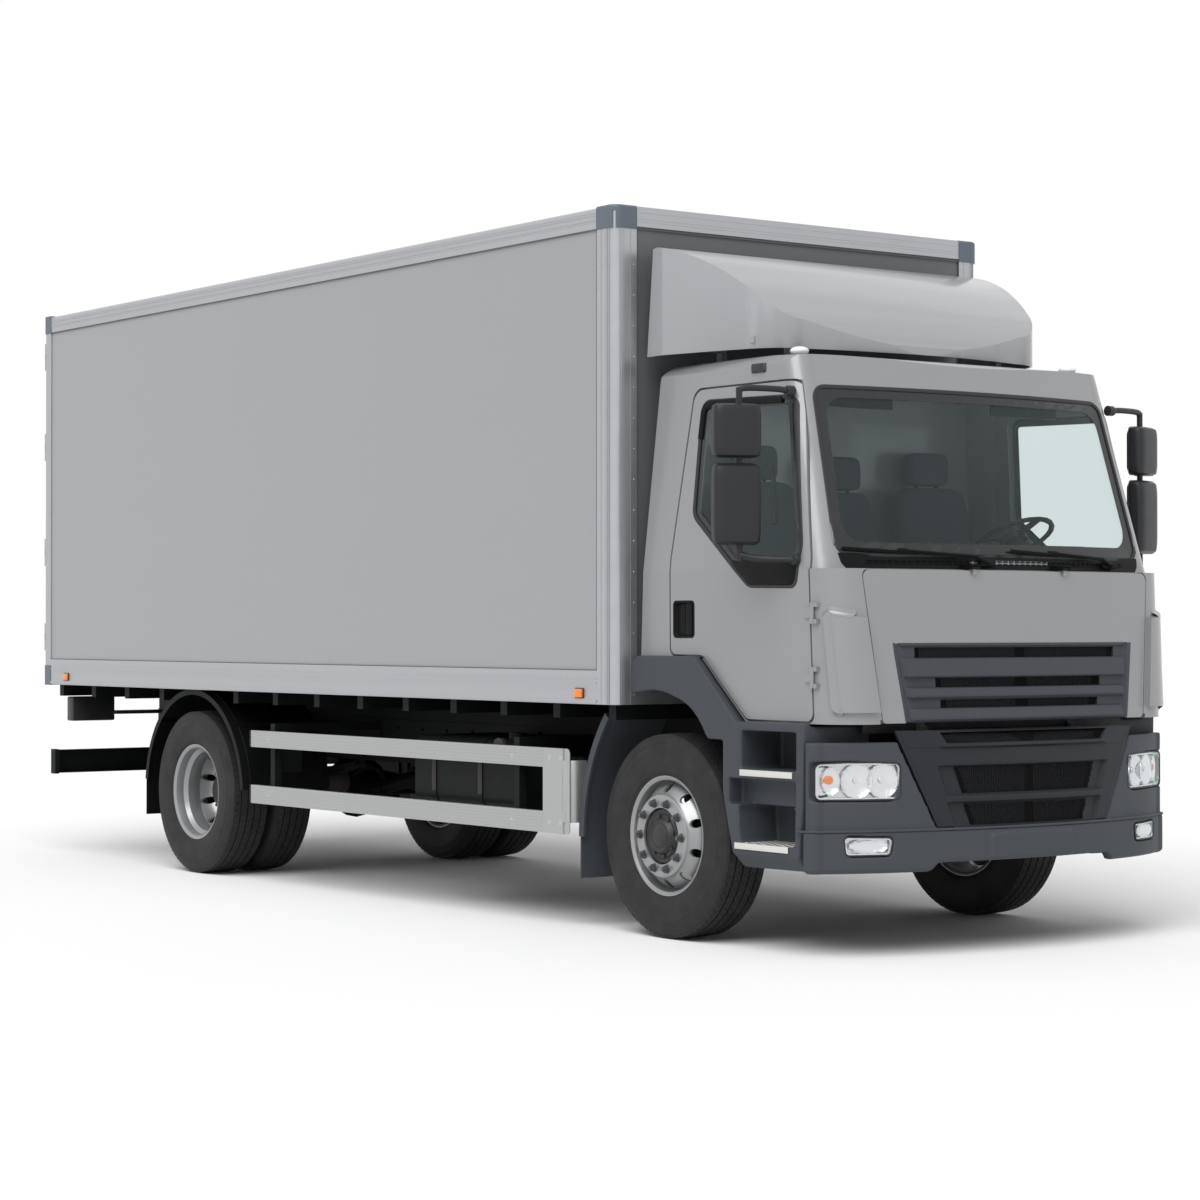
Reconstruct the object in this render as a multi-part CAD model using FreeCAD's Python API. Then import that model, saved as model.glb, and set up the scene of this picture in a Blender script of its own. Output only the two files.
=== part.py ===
import FreeCAD, Part
import os
from functools import lru_cache
from math import atan2, cos, hypot, pi, radians, sin, sqrt

# Two-axle box truck.  Millimetres; +X forward, +Y to the truck's left, +Z up, ground at Z = 0.
# The origin lies on the ground, under the middle of the truck's overall length.

V = FreeCAD.Vector

# ---- driving dimensions ----------------------------------------------------------------------
WHEELBASE = 4800.0
FRONT_OVERHANG = 1440.0
REAR_OVERHANG = 2100.0
FRONT_AXLE_X = (WHEELBASE + REAR_OVERHANG - FRONT_OVERHANG) / 2
REAR_AXLE_X = FRONT_AXLE_X - WHEELBASE
NOSE_X = FRONT_AXLE_X + FRONT_OVERHANG
TAIL_X = REAR_AXLE_X - REAR_OVERHANG

CLEAR = 5.0             # running clearance between bodies that move
PIN_FIT = 0.05          # radial clearance of a shaft in its bore
SEAT = 0.3              # gap where a moving piece rests beside its seat
SMALL_ARC = 14.0        # corners of a smaller radius are cut straight
TURN_SIDES = 36         # flat sides round a tyre or rim

TYRE_R = 511.0
TYRE_W = 275.0
RIM_SEAT_R = 286.0
RIM_FLANGE_R = 298.5
RIM_HALF_W = 117.5
RIM_WALL = 9.0
DISC_T = 12.0
HUB_BORE_R = 140.5
STUD_FLAT_R = 205.0
FRONT_TRACK_Y = 1000.0
TWIN_Y = 907.5
TWIN_HALF_GAP = 155.0

KINGPIN_Y = 900.0
KINGPIN_R = 22.0
SPINDLE_R = 35.0
STEER_ARM = 170.0
TIE_ROD_DROP = 120.0
TIE_ROD_R = 18.0
TIE_PIN_R = 10.0

RAIL_Y = 430.0          # outer face of the frame rails
RAIL_T = 8.0
RAIL_FLANGE = 75.0
RAIL_Z = 720.0
RAIL_H = 260.0
FRAME_FRONT = NOSE_X - 190.0
FRAME_REAR = TAIL_X + 150.0

BOX_L = 6610.0
BOX_W = 2500.0
BOX_Z = 1156.0
BOX_H = 2514.0
BOX_REAR = TAIL_X + 50.0
BOX_FRONT = BOX_REAR + BOX_L - 20.0
BOX_TOP = BOX_Z + BOX_H
PANEL_T = 35.0
FLOOR_T = 60.0
BOTTOM_RAIL_H = 172.0
TOP_RAIL_H = 110.0
RAIL_DEPTH = 60.0
FRONT_POST = 145.0
REAR_POST = 90.0

CAB_REAR = FRONT_AXLE_X - 205.0
CAB_LEAN = 0.043        # rear wall leans forward, per unit of height
CAB_SKIRT_Z = 1400.0    # underside of the cab over the wheel
CAB_FLOOR_Z = 1095.0    # underside of the cab at the doors
WAIST_Z = 1820.0
ROOF_Z = 2865.0
EAVE_Z = 2735.0
CAB_T = 45.0            # thickness of doors and walls
FRONT_WALL_T = 90.0
LID_T = 28.0
TILT_X = NOSE_X - 150.0
TILT_Z = 935.0

DOOR_GAP = 10.0
DOOR_HINGE_X = FRONT_AXLE_X + 1128.0
DOOR_HINGE_Y = 1126.0


# ---- small tools -----------------------------------------------------------------------------
def save(name, *solids):
    shape = solids[0] if len(solids) == 1 else Part.makeCompound(list(solids))
    shape.exportStep("parts/" + name + ".step")


def block(x0, x1, y0, y1, z0, z1):
    return Part.makeBox(x1 - x0, y1 - y0, z1 - z0, V(x0, y0, z0))


def rod(start, end, r):
    line = end - start
    return Part.makeCylinder(r, line.Length, start, line)


def bar(start, end, r, sides=8):
    """Straight many-sided bar for thin tubes, where a true round would show no difference."""
    line = end - start
    points = [(r * cos(2 * pi * i / sides), r * sin(2 * pi * i / sides)) for i in range(sides)]
    face = Part.Face(outline(points))
    face.Placement = FreeCAD.Placement(start, FreeCAD.Rotation(V(0, 0, 1), line))
    return face.extrude(line)


def joined(shapes):
    out = shapes[0]
    if len(shapes) > 1:
        out = out.multiFuse(shapes[1:])
    out = out.removeSplitter()
    return out.Solids[0] if len(out.Solids) == 1 else out


def cut(shape, tools):
    return shape.cut(Part.makeCompound(tools)) if tools else shape


def outline(points):
    """Closed wire; a point is (a, b), or (a, b, ma, mb) for an arc that reaches it through m."""
    edges = []
    for i, p in enumerate(points):
        q = points[i - 1]
        a, b = V(q[0], q[1], 0), V(p[0], p[1], 0)
        if len(p) == 4:
            edges.append(Part.Arc(a, V(p[2], p[3], 0), b).toShape())
        elif (b - a).Length > 1e-6:
            edges.append(Part.LineSegment(a, b).toShape())
    return Part.Wire(edges)


def rounded(corners, r):
    """Closed outline of a polygon whose corners are arcs of radius r (a number or a list)."""
    radii = r if isinstance(r, (list, tuple)) else [r] * len(corners)
    points = []
    n = len(corners)
    for i, (x, y) in enumerate(corners):
        (px, py), (nx, ny) = corners[i - 1], corners[(i + 1) % n]
        lp, ln = hypot(px - x, py - y), hypot(nx - x, ny - y)
        up, un = ((px - x) / lp, (py - y) / lp), ((nx - x) / ln, (ny - y) / ln)
        half = 0.5 * atan2(abs(up[0] * un[1] - up[1] * un[0]), up[0] * un[0] + up[1] * un[1])
        if radii[i] <= 0:
            points.append((x, y))
            continue
        back = min(radii[i] * cos(half) / sin(half), 0.45 * lp, 0.45 * ln)
        rad = back * sin(half) / cos(half)
        bis = (up[0] + un[0], up[1] + un[1])
        bl = hypot(*bis)
        reach = rad / sin(half) - rad
        mid = (x + bis[0] / bl * reach, y + bis[1] / bl * reach)
        points.append((x + up[0] * back, y + up[1] * back))
        if rad < SMALL_ARC:
            points.append((x + un[0] * back, y + un[1] * back))
        else:
            points.append((x + un[0] * back, y + un[1] * back) + mid)
    return points


def plan(points, z0, z1):
    """Outline in X, Y raised from z0 to z1."""
    face = Part.Face(outline(points))
    face.translate(V(0, 0, z0))
    return face.extrude(V(0, 0, z1 - z0))


def side(points, y0, y1):
    """Outline in X, Z stretched from y0 to y1."""
    face = Part.Face(outline(points))
    face.rotate(V(0, 0, 0), V(1, 0, 0), 90)
    face.translate(V(0, y0, 0))
    return face.extrude(V(0, y1 - y0, 0))


def front(points, x0, x1):
    """Outline in Y, Z stretched from x0 to x1."""
    face = Part.Face(outline(points))
    face.rotate(V(0, 0, 0), V(1, 1, 1), 120)
    face.translate(V(x0, 0, 0))
    return face.extrude(V(x1 - x0, 0, 0))


def mirrored(shape):
    return shape.mirror(V(0, 0, 0), V(0, 1, 0))


def both(shape):
    return [shape, mirrored(shape)]


# ---- wheels ----------------------------------------------------------------------------------
def turned(profile, x, y, z, way, sides=TURN_SIDES):
    """Closed profile of (offset outward, radius) turned about the axle in equal flat steps."""
    faces = []
    for (o0, r0), (o1, r1) in zip(profile[-1:] + profile[:-1], profile):
        if r0 == 0 and r1 == 0:
            continue
        for i in range(sides):
            a, b = 2 * pi * i / sides, 2 * pi * (i + 1) / sides
            ring = [(r0, a, o0), (r0, b, o0), (r1, b, o1), (r1, a, o1)]
            ring = [ring[0]] + ring[2:] if r0 == 0 else ring[:3] if r1 == 0 else ring
            corners = [V(r * cos(t), way * o, r * sin(t)) for r, t, o in ring]
            faces.append(Part.Face(Part.makePolygon(corners + corners[:1])))
    shell = Part.makeShell(faces)
    shell.sewShape()
    solid = Part.Solid(shell).removeSplitter()
    if solid.Volume < 0:
        solid = solid.reversed()
    solid.translate(V(x, y, z))
    return solid


def tyre(x, y, way):
    w, r0, rm = TYRE_W / 2, RIM_SEAT_R, (RIM_SEAT_R + TYRE_R) / 2
    bead = RIM_HALF_W - 11
    outer = [(bead, r0), (bead, r0 + 14), (w, rm), (w - 12, TYRE_R - 32), (w - 38, TYRE_R - 4)]
    inner = [(bead - 22, r0), (0, rm + 70), (22 - bead, r0)]
    profile = [(-o, r) for o, r in outer] + outer[::-1] + inner
    profile[4:6] = [(-w + 38, TYRE_R), (w - 38, TYRE_R)]
    return turned(profile, x, way * y, TYRE_R, way)


def rim_section(k):
    """Rim flange to flange as offset, radius; k is +1 where the well's mouth lies outboard."""
    w, s, f, t = RIM_HALF_W, RIM_SEAT_R, RIM_FLANGE_R, RIM_WALL
    well = s - 30
    under = [(48, well - t), (w - 42, s - 7 - t), (w, s - t)]
    upper = [(w, f), (w - 8, f), (w - 10, s), (w - 45, s - 7), (45, well), (-35, well),
             (-w + 45, s - 7), (-w + 10, s), (-w + 8, f), (-w, f)]
    back = [(-w, s - t), (-w + 42, s - 7 - t), (-38, well - t)]
    return [[(k * o, r) for o, r in part] for part in (under, upper, back)]


def vents(x, y, z, pitch_r, r, y0, y1):
    """Ten hand holes through a wheel disc."""
    tools = []
    for i in range(10):
        a = 2 * pi * (i + 0.5) / 10
        p = V(x + pitch_r * cos(a), 0, z + pitch_r * sin(a))
        tools.append(bar(V(p.x, y0, p.z), V(p.x, y1, p.z), r, 10))
    return tools


def front_rim(way):
    x, y, z = FRONT_AXLE_X, way * FRONT_TRACK_Y, TYRE_R
    face, dome, foot = 150.0, 128.0, 62.0
    under, upper, back = rim_section(1)
    profile = ([(-25, 0), (-25, 70), (30, 80), (20, 192), (-30, 192), (-30, 206), (40, 206),
                (face - DISC_T - 18, 200), (face - DISC_T, STUD_FLAT_R),
                (dome - DISC_T, 228), (foot - 14, RIM_SEAT_R - 38)] + back[::-1] + upper[::-1]
               + under[1:][::-1] + [(foot, RIM_SEAT_R - 34), (dome, 236), (face, STUD_FLAT_R),
                                    (face, 112), (158, 92), (168, 62), (168, 0)])
    wheel = turned(profile, x, y, z, way)
    tools = vents(x, y, z, 231.0, 20.0, y + way * 60, y + way * 190)
    tools.append(rod(V(x, y - way * 30, z), V(x, y + way * 120, z), SPINDLE_R + PIN_FIT))
    return cut(wheel, tools)


def rear_rims(way):
    """Twin rims, their two dished discs bolted together, and the hub: one turned section."""
    x, y, z, g = REAR_AXLE_X, way * TWIN_Y, TYRE_R, TWIN_HALF_GAP
    half = {}
    for k in (1, -1):
        under, upper, back = rim_section(k)
        shift = [(o + k * g, r) for o, r in under + upper + back]
        half[k] = ([(k * DISC_T, 212), (k * 48, 229), (k * 107, 255)] + shift
                   + [(k * 92, 261), (k * 40, 240)])
    profile = (half[1] + [(0, 215)] + half[-1][::-1]
               + [(-DISC_T, 200), (-40, 210), (-250, 210), (-250, 190), (-40, 190), (-40, 70),
                  (-150, 70), (-150, 0), (118, 0), (118, 60), (104, 96), (60, 104), (60, 118),
                  (DISC_T, HUB_BORE_R)])
    wheel = turned(profile, x, y, z, way)
    tools = vents(x, y, z, 233.0, 17.0, y - 90, y + 90)
    tools.append(rod(V(x, y - way * 160, z), V(x, y + way * 60, z), SPINDLE_R + 10 + PIN_FIT))
    return cut(wheel, tools)


# ---- front axle, knuckles and steering -------------------------------------------------------
def knuckle(way):
    x, y, z = FRONT_AXLE_X, way * KINGPIN_Y, TYRE_R
    out = way * FRONT_TRACK_Y
    pieces = [rod(V(x, y, z - 125), V(x, y, z + 125), KINGPIN_R)]
    for s in (1, -1):
        pieces.append(rod(V(x, y, z + s * 66), V(x, y, z + s * 112), 46.0))
        pieces.append(block(x - 46, x + 46, min(y, y + way * 62), max(y, y + way * 62),
                            min(z + s * 66, z + s * 112), max(z + s * 66, z + s * 112)))
    pieces.append(block(x - 60, x + 60, min(y + way * 52, y + way * 70),
                        max(y + way * 52, y + way * 70), z - 112, z + 112))
    pieces.append(rod(V(x, y + way * 60, z), V(x, out + way * 110, z), SPINDLE_R))
    eye = V(x - STEER_ARM, y, z - TIE_ROD_DROP)
    pieces.append(block(eye.x - 26, x - 20, y - 22, y + 22, eye.z + 20, eye.z + 44))
    pieces.append(block(x - 66, x - 20, y - 22, y + 22, z - 112, z - 70))
    pieces.append(rod(V(eye.x, y, eye.z - 24), V(eye.x, y, eye.z + 30), TIE_PIN_R))
    return joined(pieces)


def tie_rod():
    x, z = FRONT_AXLE_X - STEER_ARM, TYRE_R - TIE_ROD_DROP
    pieces, bores = [], []
    for way, fit in ((1, PIN_FIT), (-1, 0.6)):
        y = way * KINGPIN_Y
        pieces.append(rod(V(x, y, z - 16), V(x, y, z + 16), 24.0))
        bores.append(rod(V(x, y, z - 30), V(x, y, z + 30), TIE_PIN_R + fit))
    pieces.append(rod(V(x, -KINGPIN_Y + 18, z), V(x, KINGPIN_Y - 18, z), TIE_ROD_R - 4))
    return cut(joined(pieces), bores)


def front_axle():
    x, z = FRONT_AXLE_X, TYRE_R
    y = KINGPIN_Y
    half = [(y - 40, z + 58), (y - 130, z + 40), (y - 260, z - 42), (0, z - 42)]
    low = [(0, z - 132), (y - 250, z - 132), (y - 120, z - 50), (y - 40, z - 58)]
    pts = half + low
    right = [(-a, b) for a, b in reversed(half[:-1])] + [(-a, b) for a, b in reversed(low[1:])]
    shape = front([(a, b) for a, b in half[:3]] + [(-a, b) for a, b in reversed(half[:3])]
                  + [(-a, b) for a, b in reversed(low[1:])] + [(a, b) for a, b in low[1:]],
                  x - 45, x + 45)
    web = [block(x + s * 20 - (25 if s < 0 else 0), x + s * 20 + (25 if s > 0 else 0),
                 -y + 270, y - 270, z - 114, z - 60) for s in (1, -1)]
    shape = cut(shape, web)
    eyes = [rod(V(x, w * y, z - 60), V(x, w * y, z + 60), 48.0) for w in (1, -1)]
    bores = [rod(V(x, w * y, z - 90), V(x, w * y, z + 90), KINGPIN_R + PIN_FIT) for w in (1, -1)]
    return cut(joined([shape] + eyes), bores)


FRONT_SPRING_Y, REAR_SPRING_Y = 395.0, 400.0
SPRING_W = 76.0


def leaf_pack(x, y, z, half, rise, t):
    """One pack of leaves, clamped at z and curving up to its eyes, with its hangers."""
    top = [(x - half, z + rise + t / 3), (x + half, z + rise + t / 3, x, z)]
    low = [(x + half, z + rise), (x - half, z + rise, x, z - t)]
    y0, y1 = y - SPRING_W / 2, y + SPRING_W / 2
    pieces = [side(top[:1] + top[1:] + low, y0, y1)]
    for s in (-1, 1):
        eye = V(x + s * half, y0, z + rise + 10)
        pieces.append(bar(eye, eye + V(0, y1 - y0, 0), 22, 12))
        pieces.append(block(x + s * half - 24, x + s * half + 24, y - 20, y + 20,
                            z + rise, RAIL_Z))
        pieces.append(block(x + s * 55 - 10, x + s * 55 + 10, y0 - 12, y1 + 12, z - t, z + 12))
    return joined(pieces)


def leaf_springs():
    """Front packs sit on the axle beam, rear packs on the axle tube's seats."""
    front_z = TYRE_R - 42 + 62
    rear_z = TYRE_R + 75 + 64
    out = []
    for way in (1, -1):
        out.append(leaf_pack(FRONT_AXLE_X, way * FRONT_SPRING_Y, front_z, 720.0, 92.0, 62.0))
        out.append(leaf_pack(REAR_AXLE_X, way * REAR_SPRING_Y, rear_z, 700.0, 32.0, 70.0))
    return out


PINION_X = 250.0


def rear_axle():
    x, z = REAR_AXLE_X, TYRE_R
    tube = rod(V(x, -640, z), V(x, 640, z), 68.0)
    spindles = rod(V(x, -TWIN_Y - 50, z), V(x, TWIN_Y + 50, z), SPINDLE_R + 10)
    bowl = turned([(-150, 0), (-150, 138), (-96, 182), (0, 205), (96, 182), (150, 138), (150, 0)],
                  0, 0, 0, 1, 16)
    bowl.rotate(V(0, 0, 0), V(0, 0, 1), 90)
    bowl.translate(V(x, 0, z))
    nose = Part.makeCone(120.0, 62.0, PINION_X - 130, V(x + 130, 0, z), V(1, 0, 0))
    seats = [block(x - 60, x + 60, w * REAR_SPRING_Y - 45, w * REAR_SPRING_Y + 45, z + 20, z + 69)
             for w in (1, -1)]
    return joined([tube, spindles, bowl, nose] + seats)


# ---- frame -----------------------------------------------------------------------------------
SUB_H = 80.0
CROSS_X = [FRAME_FRONT - 40.0] + [FRAME_REAR + 160.0 + i * 770.0 for i in range(8)]


def c_rail(way):
    y1, y0 = way * RAIL_Y, way * (RAIL_Y - RAIL_FLANGE)
    lo, hi = min(y0, y1), max(y0, y1)
    beam = block(FRAME_REAR, FRAME_FRONT, lo, hi, RAIL_Z, RAIL_Z + RAIL_H)
    a, b = sorted((way * (RAIL_Y - RAIL_FLANGE - 1), way * (RAIL_Y - RAIL_T)))
    return beam.cut(block(FRAME_REAR - 1, FRAME_FRONT + 1, a, b, RAIL_Z + RAIL_T,
                          RAIL_Z + RAIL_H - RAIL_T))


def chassis_frame():
    inner = RAIL_Y - RAIL_T
    pieces = both(c_rail(1))
    pieces.append(rod(V(CROSS_X[0], -inner, RAIL_Z + 60), V(CROSS_X[0], inner, RAIL_Z + 60), 38.0))
    for x in CROSS_X[1:]:
        pieces.append(block(x, x + 8, -inner, inner, RAIL_Z + 40, RAIL_Z + RAIL_H - 40))
        for s in (0, 1):
            z = RAIL_Z + 40 + s * (RAIL_H - 88)
            pieces.append(block(x, x + 60, -inner, inner, z, z + 8))
    end = block(FRAME_REAR - 12, FRAME_REAR, -RAIL_Y, RAIL_Y, RAIL_Z, RAIL_Z + RAIL_H)
    holes = [rod(V(FRAME_REAR - 30, a * COUPLING_W / 2, COUPLING_Z + b * COUPLING_H / 2),
                 V(FRAME_REAR + 10, a * COUPLING_W / 2, COUPLING_Z + b * COUPLING_H / 2),
                 COUPLING_HOLE_R) for a in (1, -1) for b in (1, -1)]
    pieces.append(cut(end, holes))
    ear = side(rounded([(TILT_X - 150, RAIL_Z + 40), (TILT_X + 32, TILT_Z - 32),
                        (TILT_X + 32, TILT_Z + 32), (TILT_X - 40, TILT_Z + 32),
                        (TILT_X - 150, RAIL_Z + 200)], [0, 30, 30, 20, 0]),
               PIVOT_Y - 44, PIVOT_Y - 30)
    web = block(TILT_X - 150, TILT_X - 130, RAIL_Y - 1, PIVOT_Y + 44, RAIL_Z + 40, RAIL_Z + 200)
    pin = rod(V(TILT_X, PIVOT_Y - 44, TILT_Z), V(TILT_X, PIVOT_Y + 44, TILT_Z), PIVOT_R)
    ear2 = ear.copy()
    ear2.translate(V(0, 74, 0))
    foot = joined([ear, ear2, web, pin])
    return joined(pieces + both(foot))


PIVOT_Y, PIVOT_R = 500.0, 16.0
COUPLING_W, COUPLING_H, COUPLING_HOLE_R = 160.0, 100.0, 10.5
COUPLING_Z = RAIL_Z + 130.0


def engine_block():
    """Engine and gearbox as one plain mass, with the radiator ahead of it."""
    engine = block(FRONT_AXLE_X - 60, FRAME_FRONT - 260, -320, 320, 620, 1050)
    gearbox = side(rounded([(FRONT_AXLE_X - 620, 660), (FRONT_AXLE_X - 60, 600),
                            (FRONT_AXLE_X - 60, 980), (FRONT_AXLE_X - 620, 900)], 20), -190, 190)
    radiator = block(FRAME_FRONT - 230, FRAME_FRONT - 140, -340, 340, 600, 1050)
    mounts = [block(FRONT_AXLE_X + 200 + i, FRONT_AXLE_X + 320 + i, w * 337.5 - 17.5,
                    w * 337.5 + 17.5, 800, 900) for w in (1, -1) for i in (0, 400)]
    hoses = [block(FRAME_FRONT - 260, FRAME_FRONT - 230, w * 200 - 30, w * 200 + 30, z, z + 60)
             for w, z in ((1, 960), (-1, 700))]
    return joined([engine, gearbox, radiator] + mounts + hoses)


def propeller_shaft():
    start = V(FRONT_AXLE_X - 620, 0, RAIL_Z - 20)
    mid = V(CROSS_X[5], 0, RAIL_Z - 28)
    end = V(REAR_AXLE_X + PINION_X, 0, TYRE_R)
    yokes = [bar(p + V(-52, 0, 0), p + V(52, 0, 0), 56.0)
             for p in (start + V(-62, 0, 0), mid, end + V(62, 0, 0))]
    flanges = [rod(start, start + V(-12, 0, 0), 60.0), rod(end, end + V(12, 0, 0), 60.0)]
    bearing = block(mid.x, mid.x + 60, -90, 90, mid.z, RAIL_Z + 40)
    tubes = [rod(start + V(-60, 0, 0), mid, 45.0), rod(mid, end + V(60, 0, 0), 45.0)]
    return joined(tubes + [bearing] + yokes + flanges)


def lengthwise_tank(x0, x1, y0, y1, z0, z1, r):
    return front(rounded([(y0, z0), (y1, z0), (y1, z1), (y0, z1)], r), x0, x1)


def strap(x, y0, y1, z0, z1, r, w=42.0, t=5.0):
    ringed = lengthwise_tank(x, x + w, y0 - t, y1 + t, z0 - t, z1 + t, r + t)
    return ringed.cut(lengthwise_tank(x - 1, x + w + 1, y0, y1, z0, z1, r))


def hanger(x, way, y, z, w=60.0):
    """L bracket from the rail's web out under a tank or box."""
    a = block(x, x + w, RAIL_Y, RAIL_Y + 12, z, RAIL_Z + RAIL_H - 30)
    b = side([(x, z), (x + w, z), (x + w, z + 12), (x, z + 12)], RAIL_Y, y)
    bracket = joined([a, b])
    return bracket if way > 0 else mirrored(bracket)


def fuel_tank():
    x0, x1 = TANK_X
    y0, y1, z0, z1 = -1125.0, -500.0, 560.0, 945.0
    body = lengthwise_tank(x0, x1, y0, y1, z0, z1, 70.0)
    straps = [strap(x, y0, y1, z0, z1, 70.0) for x in (x0 + 180, x1 - 340)]
    neck = rod(V(x1 - 120, y0 + 110, z1 - 30), V(x1 - 120, y0 + 110, z1 + 34), 48.0)
    steps = [hanger(x - 9, -1, 1090.0, z0 - 17) for x in (x0 + 180, x1 - 340)]
    return joined([body, neck] + straps + steps)


TANK_X = (FRONT_AXLE_X - 2310.0, FRONT_AXLE_X - 1330.0)
AIR_X = (FRONT_AXLE_X - 1150.0, FRONT_AXLE_X - 790.0)


def air_tanks():
    """Two compressed-air tanks side by side on each side of the frame."""
    out = []
    for way in (-1,):
        tanks = []
        for y in (620.0, 900.0):
            tanks.append(rod(V(AIR_X[0], y, 740), V(AIR_X[1], y, 740), 118.0))
            tanks.append(rod(V(AIR_X[0] - 18, y, 740), V(AIR_X[1] + 18, y, 740), 84.0))
        shelf = block(AIR_X[0] + 60, AIR_X[1] - 60, RAIL_Y, 1010, 850, 864)
        drop = [block(AIR_X[0] + 60, AIR_X[1] - 60, RAIL_Y, RAIL_Y + 12, 780, 930)]
        shape = joined(tanks + [shelf] + drop)
        out.append(mirrored(shape) if way < 0 else shape)
    return out


def battery_box():
    x0, x1 = FRONT_AXLE_X - 1170.0, FRONT_AXLE_X - 720.0
    body = front(rounded([(500, 600), (1100, 600), (1100, 880), (1060, 930), (500, 930)],
                         [20, 20, 30, 30, 20]), x0, x1)
    lid = front(rounded([(492, 860), (1108, 860), (1108, 885), (1064, 938), (492, 938)],
                        [4, 4, 30, 30, 4]), x0 - 8, x1 + 8)
    arms = [hanger(x0 + 40 + i, 1, 1060.0, 588.0) for i in (0, 300)]
    return joined([body, lid] + arms)


def silencer():
    x0, x1 = FRONT_AXLE_X - 2330.0, FRONT_AXLE_X - 1430.0
    can = front(rounded([(520, 560), (1060, 560), (1060, 900), (520, 900)], 120), x0, x1)
    inlet = rod(V(x1 - 5, 640, 720), V(x1 + 160, 640, 720), 52.0)
    tail = rod(V(x0 + 120, 980, 690), V(x0 + 120, 1165, 640), 46.0)
    arms = [hanger(x0 + 120 + i, 1, 1000.0, 548.0) for i in (0, 560)]
    return joined([can, inlet, tail] + arms)


GUARD_Y = 1215.0
GUARD_T = 30.0
GUARD_X = (REAR_AXLE_X + 760.0, FRONT_AXLE_X - 690.0)
GUARD_RAILS = ((820.0, 920.0), (480.0, 590.0))
GUARD_POSTS = (GUARD_X[0] + 200.0, FRONT_AXLE_X - 1240.0)


def side_guard():
    """Two aluminium rails closed at the front by a rounded plate, and the frame's arms."""
    x0, x1 = GUARD_X
    yo, yi = -GUARD_Y, -GUARD_Y + GUARD_T
    pieces = []
    for z0, z1 in GUARD_RAILS:
        bar = block(x0, x1 - 60, yo, yi, z0, z1)
        pieces.append(bar.cut(block(x0 - 1, x1 - 239, yo + 3, yi + 1, z0 + 3, z1 - 3)))
    zl, zh = GUARD_RAILS[1][0], GUARD_RAILS[0][1]
    end = side(rounded([(x1 - 240, zl), (x1, zl), (x1, zh), (x1 - 240, zh)], [0, 60, 60, 0]),
               yo, yi)
    lip = plan([(x1 - 60, yo), (x1, yo + 60, x1 - 17.6, yo + 17.6), (x1, yo + 110),
                (x1 - 4, yo + 110), (x1 - 4, yo + 60), (x1 - 60, yo + 4, x1 - 20.4, yo + 20.4)],
               zl + 60, zh - 60)
    end = end.cut(block(x1 - 62, x1 + 1, yo - 1, yi + 1, zl - 1, zh + 1)).fuse(lip)
    end = end.fuse(side(rounded([(x1 - 62, zl), (x1 - 8, zl), (x1 - 8, zh), (x1 - 62, zh)],
                                [0, 50, 50, 0]), yo + 6, yo + 10))
    pieces.append(end)
    arms = []
    for x in GUARD_POSTS:
        arms.append(joined([block(x, x + 50, yi, yi + 45, zl + 20, zh - 20),
                            block(x, x + 50, yi, -RAIL_Y, zh - 5, zh + 45),
                            block(x, x + 50, -RAIL_Y - 10, -RAIL_Y, zh - 100, zh + 45),
                            block(x + 20, x + 30, yi, yi + 200, zh - 250, zh - 5)]))
    return joined(pieces), arms


def rear_underrun():
    x0 = TAIL_X
    bar = block(x0, x0 + 60, -1150, 1150, 545, 703)
    bar = bar.cut(block(x0 + 5, x0 + 61, -1140, 1140, 550, 698))
    ends = [block(x0, x0 + 66, w * 1165 - 15, w * 1165 + 15, 540, 708) for w in (1, -1)]
    arms = []
    for w in (1, -1):
        y = w * (RAIL_Y - 30)
        arm = side(rounded([(x0 + 5, 570), (x0 + 90, 570), (FRAME_REAR + 160, RAIL_Z),
                            (FRAME_REAR - 20, RAIL_Z), (x0 + 5, 690)], [10, 40, 0, 0, 10]),
                   y - 30, y + 30)
        arms.append(arm.cut(block(FRAME_REAR - 12, FRAME_REAR, -RAIL_Y, RAIL_Y, 600, RAIL_Z)))
    return joined([bar] + ends + arms)


MUD_R = 645.0


def rear_mudguards():
    """Full arches over the twin wheels, with rubber flaps, hung on tubes from the frame."""
    x, z = REAR_AXLE_X + 10, TYRE_R
    r0, r1 = MUD_R - 8, MUD_R
    arch = side([(x - r1, z + 55), (x + r1, z + 40, x, z + r1), (x + r0, z + 40),
                 (x - r0, z + 55, x, z + r0)], 595, 1205)
    lip = side([(x - r1, z + 55), (x + r1, z + 40, x, z + r1), (x + r1 - 34, z + 40),
                (x - r1 + 34, z + 55, x, z + r1 - 34)], 1199, 1207)
    flap = block(x - r1, x - r0, 600, 1200, 338, z + 60)
    tubes = [bar(V(x + s * 470, RAIL_Y, z + 432), V(x + s * 470, 1190, z + 432), 17.0)
             for s in (1, -1)]
    shape = joined([arch, lip, flap] + tubes)
    return both(shape)


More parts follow.
